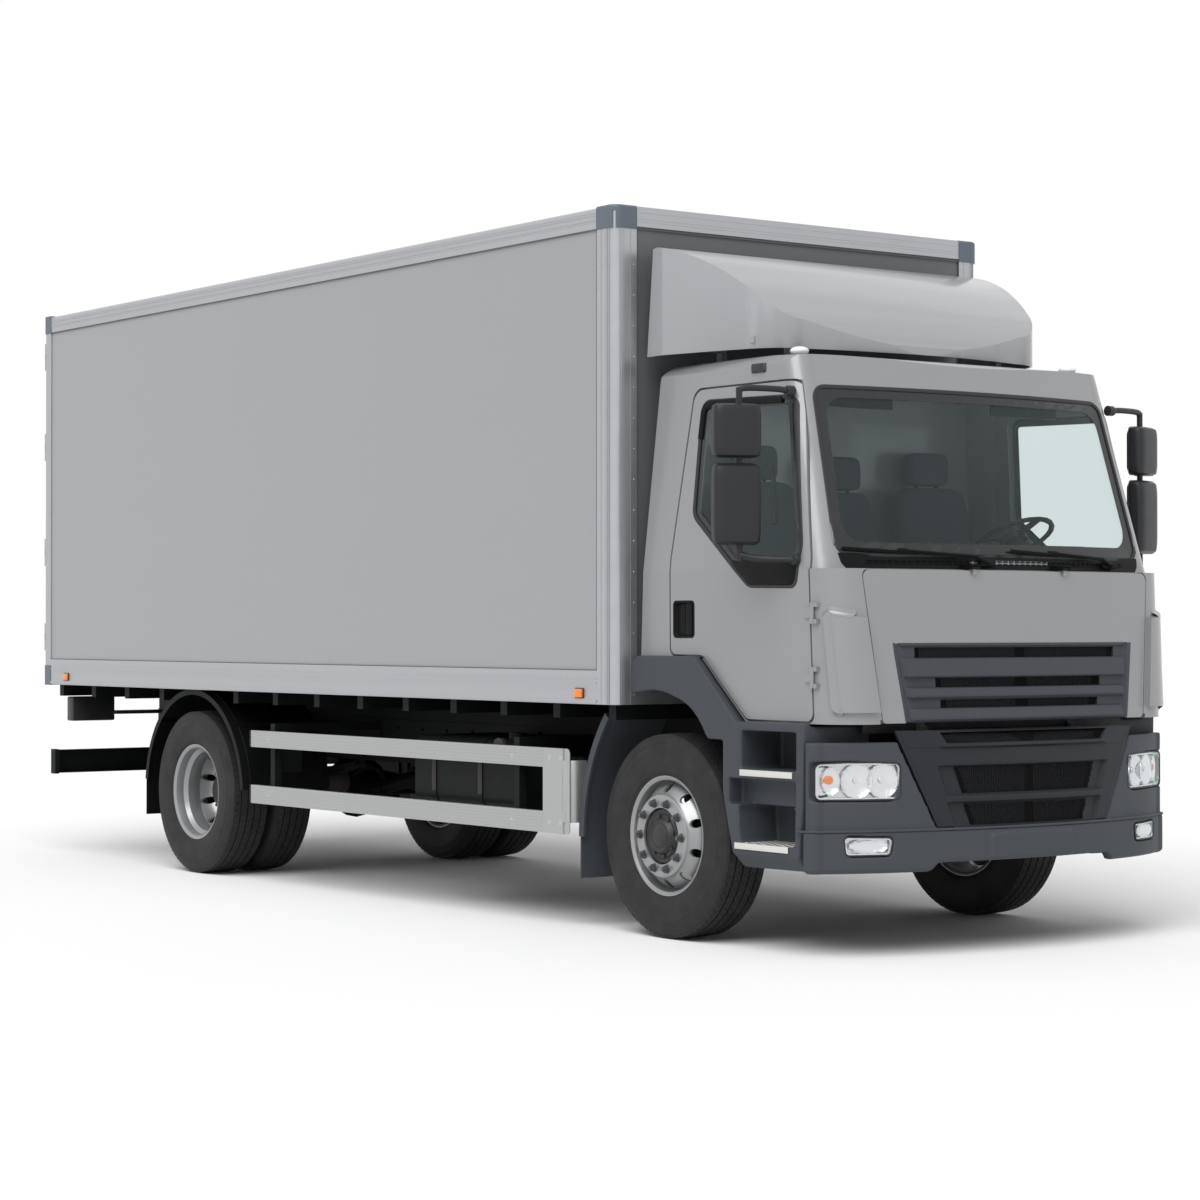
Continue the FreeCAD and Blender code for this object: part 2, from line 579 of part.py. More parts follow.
def front_fenders():
    """Curved guard behind each front wheel, with its flap, on a bracket from the frame."""
    cx, cz, r = FRONT_AXLE_X + 344, TYRE_R - 39, 1014.0
    a = radians(141)
    top = (cx + r * cos(a), cz + r * sin(a))
    mid = (cx + r * cos((pi + a) / 2), cz + r * sin((pi + a) / 2))
    t = r - 10
    band = side([(cx - r, cz), top + mid, (cx + t * cos(a), cz + t * sin(a)),
                 (cx - t, cz, cx + t * cos((pi + a) / 2), cz + t * sin((pi + a) / 2))], 760, 1165)
    lip = side([(cx - r, cz), top + mid, (cx + (r - 40) * cos(a), cz + (r - 40) * sin(a)),
                (cx - r + 40, cz, cx + (r - 40) * cos((pi + a) / 2),
                 cz + (r - 40) * sin((pi + a) / 2))], 1155, 1170)
    flap = block(cx - r, cx - r + 8, 770, 1160, 257, cz + 5)
    xb = cx - sqrt(r * r - (840 - cz) ** 2)
    arm = block(xb - 40, xb + 4, RAIL_Y, 1100, 820, 860)
    return both(joined([band, lip, flap, arm]))


# ---- cab -------------------------------------------------------------------------------------
# Plan sections: height, half width, start of the corner arc, its end x and y, nose on the axis.
CAB_SECTIONS = {
    "low": (1050.0, 1116.0, FRONT_AXLE_X + 1100, FRONT_AXLE_X + 1330, 850.0, FRONT_AXLE_X + 1388),
    "waist": (WAIST_Z, 1120.0, FRONT_AXLE_X + 1085, FRONT_AXLE_X + 1272, 935.0,
              FRONT_AXLE_X + 1342),
    "sill": (WAIST_Z, 1120.0, FRONT_AXLE_X + 1045, FRONT_AXLE_X + 1178, 975.0,
             FRONT_AXLE_X + 1290),
    "top": (3000.0, 1025.0, FRONT_AXLE_X + 740, FRONT_AXLE_X + 845, 915.0, FRONT_AXLE_X + 935),
}


def plan_section(name, inset):
    z, w, xc, xe, ye, xn = CAB_SECTIONS[name]
    xr = CAB_REAR - 60
    r = ((xe - xc) ** 2 + (w - ye) ** 2) / (2 * (w - ye))
    cy = w - r
    r -= inset
    a = atan2(ye - cy, xe - xc)
    ex, ey = xc + r * cos(a), cy + r * sin(a)
    mx, my = xc + r * cos((a + pi / 2) / 2), cy + r * sin((a + pi / 2) / 2)
    wi, nose = w - inset, xn - inset
    pts = [(xr, -wi), (xc, -wi), (ex, -ey, mx, -my), (ex, ey, nose, 0), (xc, wi, mx, my), (xr, wi)]
    wire = outline(pts)
    wire.translate(V(0, 0, z))
    return wire


@lru_cache(maxsize=None)
def cab_solid(inset):
    """The cab's outer form, moved inwards by inset on every face."""
    t = inset
    low = Part.makeLoft([plan_section("low", t), plan_section("waist", t)], True, True)
    up = Part.makeLoft([plan_section("sill", t), plan_section("top", t)], True, True)
    body = low.multiFuse([up])
    lean = CAB_LEAN * (ROOF_Z - CAB_SKIRT_Z)
    x, xf = CAB_REAR, FRONT_AXLE_X
    roof = [(x + t, CAB_SKIRT_Z + t), (xf + 285 + t / 3, CAB_SKIRT_Z + t),
            (xf + 626 + t / 3, CAB_FLOOR_Z + t), (NOSE_X + 50, CAB_FLOOR_Z + t),
            (NOSE_X + 50, 2600), (xf + 1060 - t, 2700),
            (xf + 870 - t, ROOF_Z - 22 - t, xf + 1003 - t * 0.8, 2812 - t * 0.8),
            (xf + 500, ROOF_Z - t), (x + lean + 110 + t, ROOF_Z - t),
            (x + lean + t, ROOF_Z - 100 - t * 0.4, x + lean + 30 + t * 0.8, ROOF_Z - 28 - t * 0.8)]
    body = body.common(side(roof, -1300, 1300))
    w = 1400
    e = 900.0 - t * 0.4
    ends = [(-w, 900), (w, 900), (w, 2000), (1075 - t, EAVE_Z - 30 - t * 0.4),
            (e, ROOF_Z - 4 - t, 1018 - t * 0.75, ROOF_Z - 40 - t * 0.75), (0, ROOF_Z + 30 - t),
            (-e, ROOF_Z - 4 - t), (-(1075 - t), EAVE_Z - 30 - t * 0.4, -(1018 - t * 0.75),
                                   ROOF_Z - 40 - t * 0.75), (-w, 2000)]
    return body.common(front(ends, CAB_REAR - 100, NOSE_X + 100))


def door_outline(grow):
    """Door edge in X, Z, grown by grow on every side; its corners are rounded."""
    x, g = FRONT_AXLE_X, grow
    pts = [(x + 40 - g, CAB_SKIRT_Z + 12 - g), (x + 290 - g * 0.4, CAB_SKIRT_Z + 12 - g),
           (x + 632 - g * 0.4, CAB_FLOOR_Z + 12 - g), (x + 1122 + g, CAB_FLOOR_Z + 12 - g),
           (x + 1092 + g, WAIST_Z + 40), (x + 916 + g, 2715 + g), (x + 150 - g, 2715 + g),
           (x + 40 - g, WAIST_Z + 60)]
    return rounded(pts, [40, 60, 60, 40, 300, 60, 70, 300])


def window_outline(grow):
    x, g = FRONT_AXLE_X, grow
    pts = [(x + 198 - g, 2095 - g * 0.5), (x + 655 - g * 0.5, 1744 - g), (x + 1000 + g, 1738 - g),
           (x + 1035 + g, 1930), (x + 905 + g, 2640 + g), (x + 215 - g, 2655 + g)]
    return rounded(pts, [80, 90, 40, 200, 60, 60])


def screen_outline(grow):
    g = grow
    return rounded([(-1006 - g, 1885 - g), (1006 + g, 1885 - g), (955 + g, 2692 + g),
                    (-955 - g, 2692 + g)], 70 + g)


LID_TOP, LID_LOW = WAIST_Z - 4, CAB_FLOOR_Z + 4
LID_HALF = (945.0, 862.0)
LID_PIN_X, LID_PIN_Y, LID_PIN_Z = NOSE_X - 92, 300.0, WAIST_Z + 10
LID_PIN_R = 4.0
GRILLE_Z = (CAB_FLOOR_Z + 4, 1472.0)
GRILLE_HALF = (728.0, 792.0)


def lid_outline(grow):
    g = grow
    return rounded([(-LID_HALF[1] - g, LID_LOW - g - 1), (LID_HALF[1] + g, LID_LOW - g - 1),
                    (LID_HALF[0] + g, LID_TOP + g), (-LID_HALF[0] - g, LID_TOP + g)],
                   [24, 24, 40, 40])


def grille_outline(grow):
    g = grow
    return rounded([(-GRILLE_HALF[0] - g, GRILLE_Z[0] - 40), (GRILLE_HALF[0] + g, GRILLE_Z[0] - 40),
                    (GRILLE_HALF[1] + g, GRILLE_Z[1] + g), (-GRILLE_HALF[1] - g, GRILLE_Z[1] + g)],
                   [0, 0, 30, 30])


def door_depth(grow):
    """Zone of the right side wall, following the wall's inward lean."""
    inner = 1120 - CAB_T - 4 - grow
    pts = [(-1300, 900), (-inner, 900), (-inner, WAIST_Z), (-inner + 74, 2740 + grow),
           (-1300, 2740 + grow)]
    return front(pts, CAB_REAR - 100, NOSE_X)


HINGE_Z = (1290.0, 1590.0)
HINGE_LUG = 44.0
HINGE_R, HINGE_PIN_R = 9.0, 4.5


def door_hinges():
    """Right door's hinges: its own lugs, the pillar's barrels with the pins, and the pockets."""
    x, y, r = DOOR_HINGE_X, -DOOR_HINGE_Y, HINGE_R
    skin = y + 6
    lugs, barrels, pockets = [], [], []
    for z in HINGE_Z:
        z1 = z + HINGE_LUG
        lug = joined([rod(V(x, y, z), V(x, y, z1), r), block(x - 52, x, y - 3, skin + 3, z, z1),
                      block(x - 52, x - 24, y - 3, skin + 20, z, z1)])
        lugs.append(lug.cut(rod(V(x, y, z - 1), V(x, y, z1 + 1), HINGE_PIN_R + PIN_FIT)))
        pockets.append(block(x - 28, x + 18, y - 20, skin + 12, z - CLEAR, z1 + CLEAR))
        parts = [rod(V(x, y, z - 27), V(x, y, z1 + 27), HINGE_PIN_R)]
        for a, b in ((z - 27, z - 1), (z1 + 1, z1 + 27)):
            parts.append(rod(V(x, y, a), V(x, y, b), r))
            c, d = (a, b - CLEAR) if b < z else (a + CLEAR, b)
            parts += [block(x, x + 34, y - 3, skin - SEAT, c, d),
                      block(x + 10, x + 34, y - 3, skin + 24, c, d)]
        barrels.append(joined(parts))
    return lugs, barrels, pockets


def door_pieces(glass_skin, shell):
    """Right door leaf and its glass; the left one is their mirror image."""
    leaf = shell.common(side(door_outline(0), -1300, -900)).common(door_depth(0))
    leaf = leaf.cut(side(window_outline(0), -1300, -700))
    recess = side(rounded([(FRONT_AXLE_X + 58, 1492), (FRONT_AXLE_X + 232, 1492),
                           (FRONT_AXLE_X + 232, 1678), (FRONT_AXLE_X + 58, 1678)], 24),
                  -1200, -1100)
    leaf = leaf.cut(recess)
    grip = side(rounded([(FRONT_AXLE_X + 168, 1512), (FRONT_AXLE_X + 206, 1512),
                         (FRONT_AXLE_X + 206, 1658), (FRONT_AXLE_X + 168, 1658)], 14),
                -1116, -1092)
    leaf = joined([leaf, grip] + door_hinges()[0])
    glass = glass_skin.common(side(window_outline(-SEAT), -1300, -700))
    return leaf, glass


def lid_hinges():
    """Two hinges over the front lid: the lid's lugs, and the cab's brackets with their pins."""
    x, z, r = LID_PIN_X, LID_PIN_Z, 7.0
    lugs, brackets = [], []
    for y in (-LID_PIN_Y, LID_PIN_Y):
        lug = rod(V(x, y - 10, z), V(x, y + 10, z), r).fuse(block(x - 22, x, y - 10, y + 10, z - 34, z))
        lugs.append(lug.cut(rod(V(x, y - 12, z), V(x, y + 12, z), LID_PIN_R + PIN_FIT)))
        parts = [rod(V(x, y - 22, z), V(x, y + 22, z), LID_PIN_R)]
        for a in (y - 22, y + 11):
            parts.append(rod(V(x, a, z), V(x, a + 11, z), r))
            parts.append(block(x - 96, x, a, a + 11, z - 7, z + 7))
        brackets.append(joined(parts))
    return lugs, brackets


def cab_pieces():
    outer, inner = cab_solid(0), cab_solid(CAB_T)
    shell = outer.cut(inner)
    front_inner = cab_solid(FRONT_WALL_T)
    nodes = {}

    glass_skin = cab_solid(4).cut(cab_solid(11))
    leaf, door_glass = door_pieces(glass_skin, shell)
    nodes["door_right"], nodes["door_glass_right"] = leaf, solid_of(door_glass)
    nodes["door_left"] = mirrored(leaf)
    nodes["door_glass_left"] = mirrored(nodes["door_glass_right"])

    x_dash = FRONT_AXLE_X + 900
    screen = glass_skin.common(front(screen_outline(-SEAT), x_dash - 60, NOSE_X + 40))
    nodes["windscreen"] = solid_of(screen)

    lid_skin = outer.cut(cab_solid(LID_T))
    lid = lid_skin.common(front(lid_outline(0), FRONT_AXLE_X + 1150, NOSE_X + 40))
    grille_hole = front(grille_outline(0), FRONT_AXLE_X + 1150, NOSE_X + 60)
    lid_lugs, lid_brackets = lid_hinges()
    nodes["front_panel"] = joined([solid_of(lid.cut(grille_hole))] + lid_lugs)
    nodes["grille"] = grille(lid)

    gap = DOOR_GAP
    door_hole = side(door_outline(gap), -1300, -900).common(door_depth(CLEAR))
    door_hole = door_hole.fuse(mirrored(door_hole))
    screen_hole = front(screen_outline(0), x_dash - 60, NOSE_X + 60)
    lid_hole = front(lid_outline(CLEAR), FRONT_AXLE_X + 1150, NOSE_X + 60)
    skin_out = outer.cut(cab_solid(LID_T + CLEAR)).common(lid_hole)
    grille_room = front(grille_outline(CLEAR), FRONT_AXLE_X + 1150, NOSE_X + 60)
    deep = outer.cut(cab_solid(LID_T + 30)).common(grille_room)

    thick = outer.cut(front_inner)
    low_front = block(FRONT_AXLE_X + 1000, NOSE_X + 50, -1300, 1300, 1000, WAIST_Z + 60)
    wall = thick.common(low_front).fuse(shell).removeSplitter()
    lugs, barrels, pockets = door_hinges()
    wall = wall.cut(door_hole).cut(screen_hole).cut(skin_out).cut(deep)
    wall = wall.cut(Part.makeCompound([p for pocket in pockets for p in both(pocket)]))

    z_floor = CAB_SKIRT_Z + CAB_T
    x_rear = CAB_REAR + 150
    x_a = FRONT_AXLE_X + 1085
    rear_zone = block(CAB_REAR - 90, x_rear, -1300, 1300, z_floor, EAVE_Z - 30)
    roof_zone = block(CAB_REAR - 90, NOSE_X, -1300, 1300, EAVE_Z - 30, 3100)
    floor_zone = side([(CAB_REAR - 90, 1000), (x_a, 1000), (x_a, CAB_FLOOR_Z + CAB_T + 1),
                       (FRONT_AXLE_X + 640, CAB_FLOOR_Z + CAB_T + 1),
                       (FRONT_AXLE_X + 300, z_floor), (CAB_REAR - 90, z_floor)], -1300, 1300)
    fire_zone = block(x_a, NOSE_X + 50, -880, 880, 1000, 1884)
    nodes["cab_rear_wall"] = main_solids(wall.common(rear_zone))
    nodes["cab_roof"] = main_solids(wall.common(roof_zone))
    floor = main_solids(wall.common(floor_zone))
    lid_sweep = outer.cut(cab_solid(LID_T + CLEAR)).common(
        block(FRONT_AXLE_X + 1100, NOSE_X + 50, -880, 880, 1000, LID_LOW + 16))
    firewall = wall.common(fire_zone).cut(lid_sweep)
    nodes["cab_firewall"] = joined([main_solids(firewall)] + lid_brackets)
    frames = wall.cut(rear_zone).cut(roof_zone).cut(floor_zone).cut(fire_zone)
    corner_zone = plan([(x_a + 48, -1300), (NOSE_X + 40, -1300), (NOSE_X + 40, -880),
                        (x_a + 48, -880)], 1000, WAIST_Z)
    corner_zone = corner_zone.fuse(mirrored(corner_zone))
    right = block(CAB_REAR - 90, NOSE_X + 40, -1300, 0, 1000, 3100)
    right_frame = main_solids(frames.cut(corner_zone).common(right))
    nodes["cab_side_frames"] = Part.makeCompound(both(right_frame))
    corner = joined([solid_of(frames.common(corner_zone).common(right))] + barrels)
    nodes["cab_corner_panels"] = Part.makeCompound(both(with_deflector(corner)))
    arms = []
    for way in (1, -1):
        y = way * PIVOT_Y
        arm = side(rounded([(TILT_X + 26, TILT_Z - 26), (TILT_X + 26, TILT_Z + 20),
                            (TILT_X - 110, CAB_FLOOR_Z), (TILT_X - 260, CAB_FLOOR_Z),
                            (TILT_X - 26, TILT_Z - 26)], [24, 20, 0, 0, 24]), y - 24, y + 24)
        arm = arm.cut(rod(V(TILT_X, y - 60, TILT_Z), V(TILT_X, y + 60, TILT_Z),
                          PIVOT_R + PIN_FIT))
        arms.append(arm)
    nodes["cab_floor"] = joined(floor.Solids + arms)
    return nodes


def solid_of(shape):
    return sorted(shape.Solids, key=lambda s: s.Volume)[-1]


def main_solids(shape, least=3e5):
    keep = [s for s in shape.Solids if s.Volume > least]
    return Part.makeCompound(keep) if len(keep) > 1 else keep[0]


def with_deflector(corner):
    """Raised air deflector on the right corner panel, ending in a slot beside the lid."""
    x = FRONT_AXLE_X
    raise_zone = side(rounded([(x + 1190, 1628), (x + 1420, 1560), (x + 1420, 1150),
                               (x + 1235, 1150)], [30, 0, 0, 30]), -1400, 0)
    raised = cab_solid(-24).cut(cab_solid(6)).common(raise_zone)
    middle = front(rounded([(-LID_HALF[1] - 12, 1000), (LID_HALF[1] + 12, 1000),
                            (LID_HALF[0] + 12, 1700), (-LID_HALF[0] - 12, 1700)], 0), x, NOSE_X + 99)
    return joined([corner, solid_of(raised.cut(middle))])


GRILLE_SLATS = ((1310.0, 1400.0), (1205.0, 1262.0), (1112.0, 1165.0))


def grille(lid):
    """Frame, backing mesh plate and three slats that stand forward at their lower edges."""
    zone = front(grille_outline(-SEAT), FRONT_AXLE_X + 1150, NOSE_X + 60)
    zone = zone.common(block(0, NOSE_X + 60, -1200, 1200, LID_LOW, 2000))
    skin = cab_solid(-6).cut(cab_solid(LID_T)).common(zone)
    rim = skin.cut(front(grille_outline(-34), FRONT_AXLE_X + 1100, NOSE_X + 90)
                   .common(block(0, NOSE_X + 90, -1200, 1200, LID_LOW - 60, GRILLE_Z[1] - 18)))
    back = cab_solid(LID_T - 8).cut(cab_solid(LID_T)).common(zone)
    pieces = [rim, back]
    for z0, z1 in GRILLE_SLATS:
        slab = cab_solid(-20).cut(cab_solid(LID_T - 4)).common(zone).common(
            block(0, NOSE_X + 90, -1200, 1200, z0, z1))
        bevel = side([(NOSE_X - 90, z1 + 40), (NOSE_X + 90, z1 + 40), (NOSE_X + 90, z0 + 18),
                      (NOSE_X - 30, z0 + 18)], -1200, 1200)
        pieces.append(slab.cut(bevel) if slab.cut(bevel).Volume > 0 else slab)
    return joined(pieces)


# ---- roof fairing, cowl, interior ------------------------------------------------------------
FAIRING_Z = 2905.0
FAIRING_TOP = 3450.0
FAIRING_REAR = BOX_FRONT + 100.0


def fairing_solid(t):
    x0, x1 = FAIRING_REAR, FRONT_AXLE_X + 690 - t
    top = FAIRING_TOP - t
    profile = [(x0 - 45, FAIRING_Z), (x1, FAIRING_Z), (x1 - 8, FAIRING_Z + 42 - t * 0.4),
               (x0 + 40, top, x1 - 330, FAIRING_Z + 352 - t * 0.8), (x0 + 4, top - 6)]
    body = side(profile, -1200, 1200)
    wr, wf, xf = 1080.0 - t, 862.0 - t, FRONT_AXLE_X + 560
    pts = [(x0 - 60, -wr), (x0 + 80, -wr), (xf - 80, -wf - 60, (x0 + xf) / 2, -wf - 150),
           (xf + 40, -wf + 130, xf, -wf + 10), (xf + 40, wf - 130, x1, 0),
           (xf - 80, wf + 60, xf, wf - 10), (x0 + 80, wr, (x0 + xf) / 2, wf + 150), (x0 - 60, wr)]
    return body.common(plan(pts, FAIRING_Z - 10, FAIRING_TOP + 50))


def roof_fairing():
    t = 14.0
    shell = fairing_solid(0).cut(fairing_solid(t)).cut(
        block(FAIRING_REAR - 90, FAIRING_REAR + 20, -1040, 1040, FAIRING_Z - 9, FAIRING_TOP - 40))
    shell = shell.cut(block(FAIRING_REAR - 99, FRONT_AXLE_X + 900, -1400, 1400, 0, FAIRING_Z + 1))
    shell = solid_of(shell)
    feet = []
    for way in (1, -1):
        for x in (FAIRING_REAR + 60, FRONT_AXLE_X + 430):
            feet.append(block(x, x + 40, way * 700 - 16, way * 700 + 16, ROOF_Z - 1,
                              FAIRING_Z + 60))
            y0, y1 = sorted((way * 684, way * (1072 if x < FRONT_AXLE_X else 938)))
            feet.append(block(x, x + 40, y0, y1, FAIRING_Z + 30, FAIRING_Z + 60))
    return joined([shell] + feet).cut(cab_solid(0))


WIPERS = ((-170.0, 800.0), (713.0, 705.0))


def screen_x(y, z):
    """Outer face of the windscreen at y, z."""
    low, top = CAB_SECTIONS["sill"], CAB_SECTIONS["top"]
    f = (z - low[0]) / (top[0] - low[0])
    xe, ye, xn = [low[i] + (top[i] - low[i]) * f for i in (3, 4, 5)]
    return xn - (xn - xe) * (y / ye) ** 2


def wipers():
    """Two parked wipers: spindle boss, bent arm and blade lying along the screen's foot."""
    out = []
    for y, reach in WIPERS:
        z0, z1 = WAIST_Z + 24, WAIST_Z + 96
        foot = V(screen_x(y, z0) + 30, y, z0)
        elbow = V(screen_x(y - 0.5 * reach, z1) + 24, y - 0.5 * reach, z1 - 26)
        tip = V(screen_x(y - reach, z1) + 18, y - reach, z1 - 4)
        heel = V(screen_x(y - 0.28 * reach, z0) + 16, y - 0.28 * reach, z0 + 46)
        boss = rod(V(screen_x(y, z0) - 2, y, z0), foot + V(6, 0, 0), 16.0)
        wiper = joined([boss, bar(foot, elbow, 7.0), bar(elbow, (heel + tip) * 0.5, 6.0),
                        bar(heel, tip, 8.0)])
        out.append(solid_of(wiper.cut(cab_solid(0))))
    return out


def dashboard():
    """Dash from pillar to pillar, steering column and wheel on the truck's left."""
    x = FRONT_AXLE_X
    board = side(rounded([(x + 760, 1560), (x + 1075, 1500), (x + 1075, 1868), (x + 900, 1905),
                          (x + 780, 1840)], [40, 20, 40, 60, 50]), -985, 985)
    hood = side(rounded([(x + 770, 1800), (x + 980, 1850), (x + 960, 1950), (x + 800, 1965)],
                        [20, 20, 50, 40]), 330, 930)
    centre = V(x + 640, WHEEL_Y, 2000)
    lean = radians(62)
    axis = V(-cos(lean), 0, sin(lean))
    rim = turned([(13 * cos(a), 208 + 15 * sin(a)) for a in [i * pi / 3 for i in range(6)]],
                 0, 0, 0, 1, 24)
    rim.rotate(V(0, 0, 0), V(1, 0, 0), 90)
    spokes = [block(-205, 205, -17, 17, -9, 9), block(-20, 20, -205, 0, -9, 9)]
    boss = bar(V(0, 0, -20), V(0, 0, 14), 72.0, 16)
    round_wheel = joined([rim, boss] + spokes)
    turn = FreeCAD.Rotation(V(0, 0, 1), axis)
    round_wheel.Placement = FreeCAD.Placement(centre, turn).multiply(round_wheel.Placement)
    column = rod(centre + axis * -8, centre + axis * -330, 42.0)
    foot = block(x + 790, x + 995, -240, 240, CAB_FLOOR_Z + CAB_T, 1600)
    return joined([board, hood, column, round_wheel, foot])


WHEEL_Y = 640.0
SEAT_ROWS = ((620.0, 520.0), (-560.0, 520.0), (0.0, 420.0))


def seats():
    """Driver's seat, passenger's seat and a middle seat, each on its plinth."""
    out = []
    x = CAB_REAR + 150
    for y, w in SEAT_ROWS:
        low = 1640 if y else 1600
        cushion = side(rounded([(x + 90, low), (x + 600, low + 20), (x + 600, low + 150),
                                (x + 90, low + 120)], [30, 50, 60, 30]), y - w / 2, y + w / 2)
        back = side(rounded([(x + 60, low + 60), (x + 190, low + 60), (x + 110, low + 640),
                             (x + 10, low + 650)], [30, 40, 50, 40]), y - w / 2 + 15, y + w / 2 - 15)
        head = side(rounded([(x + 14, low + 660), (x + 104, low + 650), (x + 88, low + 830),
                             (x + 12, low + 830)], [20, 20, 35, 35]), y - 135, y + 135)
        posts = [bar(V(x + 60, y + s * 70, low + 600), V(x + 54, y + s * 70, low + 700), 8.0)
                 for s in (1, -1)]
        plinth = block(x + 150, x + 540, y - w / 2 + 60, y + w / 2 - 60, CAB_SKIRT_Z + CAB_T, low + 30)
        out.append(joined([cushion, back, head, plinth] + posts))
    return out


# ---- arches, steps, bumper and lamps ---------------------------------------------------------
FLARE_Y = 1170.0
STEER_SWEEP_R = 578.0


def step_box():
    """Right wheel-arch flare with the two entry steps below the door; moulded plastic."""
    x = FRONT_AXLE_X
    z0 = CAB_SKIRT_Z
    body = side([(x - 230, 1215), (x - 222, 1330), (x - 150, z0 + 5, x - 205, z0 - 18),
                 (x + 285, z0 + 5), (x + 615, CAB_FLOOR_Z + 6), (x + 1120, CAB_FLOOR_Z + 4),
                 (x + 1108, 690), (x + 1078, 404), (x + 610, 398), (x + 530, 690),
                 (x + 512, 775), (x + 379, 1024, x + 468, 912), (x + 130, 1203, x + 275, 1140),
                 (x - 150, 1222, x - 10, 1232)], -FLARE_Y, -760.0)
    hollow = side([(x - 190, 1255), (x - 160, z0 - 30), (x + 270, z0 - 30),
                   (x + 590, CAB_FLOOR_Z - 30), (x + 640, 1010), (x + 560, 1010), (x + 400, 1075),
                   (x + 160, 1240), (x - 150, 1256)], -FLARE_Y + 20, -700.0)
    top = side([(x - 400, z0 + 6), (x + 285 - 6, z0 + 6), (x + 609, CAB_FLOOR_Z + 1),
                (x + 1300, CAB_FLOOR_Z + 1), (x + 1300, 1600), (x - 400, 1600)], -1300, -700)
    body = body.cut(top)
    under_cab = side([(x - 400, z0 - 12), (x + 277, z0 - 12), (x + 607, CAB_FLOOR_Z - 12),
                      (x + 1300, CAB_FLOOR_Z - 12), (x + 1300, 1600), (x - 400, 1600)],
                     -1126, -700)
    body = body.cut(under_cab).cut(hollow)
    taper = plan([(x + 1300, -1300), (x - 400, -1300), (x - 400, -1128),
                  (x - 190, -FLARE_Y, x - 320, -1158), (x + 1300, -FLARE_Y)], 300, 1500)
    upper_well = block(x + 655, x + 1062, -FLARE_Y - 1, -915, 872, CAB_FLOOR_Z - 40)
    lower_well = side(rounded([(x + 645, 515), (x + 1052, 515), (x + 1058, 700), (x + 632, 700)],
                              20), -FLARE_Y - 1, -930)
    gap = side([(x + 560, 700), (x + 1058, 700), (x + 1062, 826), (x + 560, 826)],
               -FLARE_Y - 1, -1080)
    sweep = rod(V(x, -KINGPIN_Y, 300), V(x, -KINGPIN_Y, 1005), STEER_SWEEP_R)
    chamfer = front([(-FLARE_Y - 1, 396), (-FLARE_Y + 60, 396), (-FLARE_Y - 1, 470)],
                    x + 500, x + 1200)
    body = body.cut(taper).cut(upper_well).cut(gap).cut(sweep).cut(chamfer)
    body = body.cut(lower_well)
    treads = [block(x + 652, x + 1045, -FLARE_Y - 4, -925, 838, 866),
              block(x + 612, x + 1015, -FLARE_Y - 4, -935, 496, 516)]
    carrier = block(x + 760, x + 960, -790, -RAIL_Y, 800, 860)
    return joined([body, carrier] + treads)


BUMPER_TOP, BUMPER_LOW, BUMPER_SPLIT = 1010.0, 400.0, 600.0
BUMPER_HALF = 1173.0
BUMPER_REAR = FRONT_AXLE_X + 1128.0
BUMPER_T = 45.0


@lru_cache(maxsize=None)
def bumper_plan(out, z0, z1, nose=0.0):
    """Plan form of the bumper, moved outwards by out."""
    x, o = FRONT_AXLE_X, out
    w = BUMPER_HALF + o
    pts = [(BUMPER_REAR, -w), (x + 1140, -w), (x + 1186 + o * 0.6, -1112 - o * 0.6,
                                               x + 1168 + o * 0.7, -1158 - o * 0.7),
           (x + 1328 + o, -752 - o * 0.3, x + 1268 + o * 0.9, -945 - o * 0.4),
           (x + 1328 + o, 752 + o * 0.3, NOSE_X - 20 + o + nose, 0),
           (x + 1186 + o * 0.6, 1112 + o * 0.6, x + 1268 + o * 0.9, 945 + o * 0.4),
           (x + 1140, w, x + 1168 + o * 0.7, 1158 + o * 0.7), (BUMPER_REAR, w)]
    return plan(pts, z0, z1)


INSERT_TOP_Z = 1064.0
INSERT_HALF = (560.0, 795.0)
MESHES = ((1000.0, 1052.0, 560.0, 520.0), (762.0, 888.0, 470.0, 425.0),
          (612.0, 712.0, 415.0, 380.0))
LAMP_Z = (744.0, 918.0)
FOG_Z = (484.0, 574.0)


def lamp_outline(grow):
    g = grow
    return rounded([(-1300, LAMP_Z[0] - g), (-790 + g * 0.5, LAMP_Z[0] - g - 6),
                    (-748 + g, LAMP_Z[1] + g - 18), (-1010, LAMP_Z[1] + g),
                    (-1300, LAMP_Z[1] + g - 4)], [0, 26, 26, 60, 0])


def fog_outline(grow):
    g = grow
    return rounded([(-1010 - g, FOG_Z[0] - g), (-812 + g, FOG_Z[0] - g),
                    (-796 + g, FOG_Z[1] - 8 + g), (-1022 - g, FOG_Z[1] + g)], 22)


def insert_outline(grow, top=0.0):
    """Edge of the centre insert, grown by grow; its sides run on upwards by top."""
    slope = (INSERT_HALF[1] - INSERT_HALF[0]) / (INSERT_TOP_Z - BUMPER_SPLIT)
    low = INSERT_HALF[0] + grow * 1.12
    z0, z1 = BUMPER_SPLIT - grow, INSERT_TOP_Z + top
    high = low + slope * (z1 - z0)
    return rounded([(-low, z0), (low, z0), (high, z1), (-high, z1)], [40, 40, 0, 0])


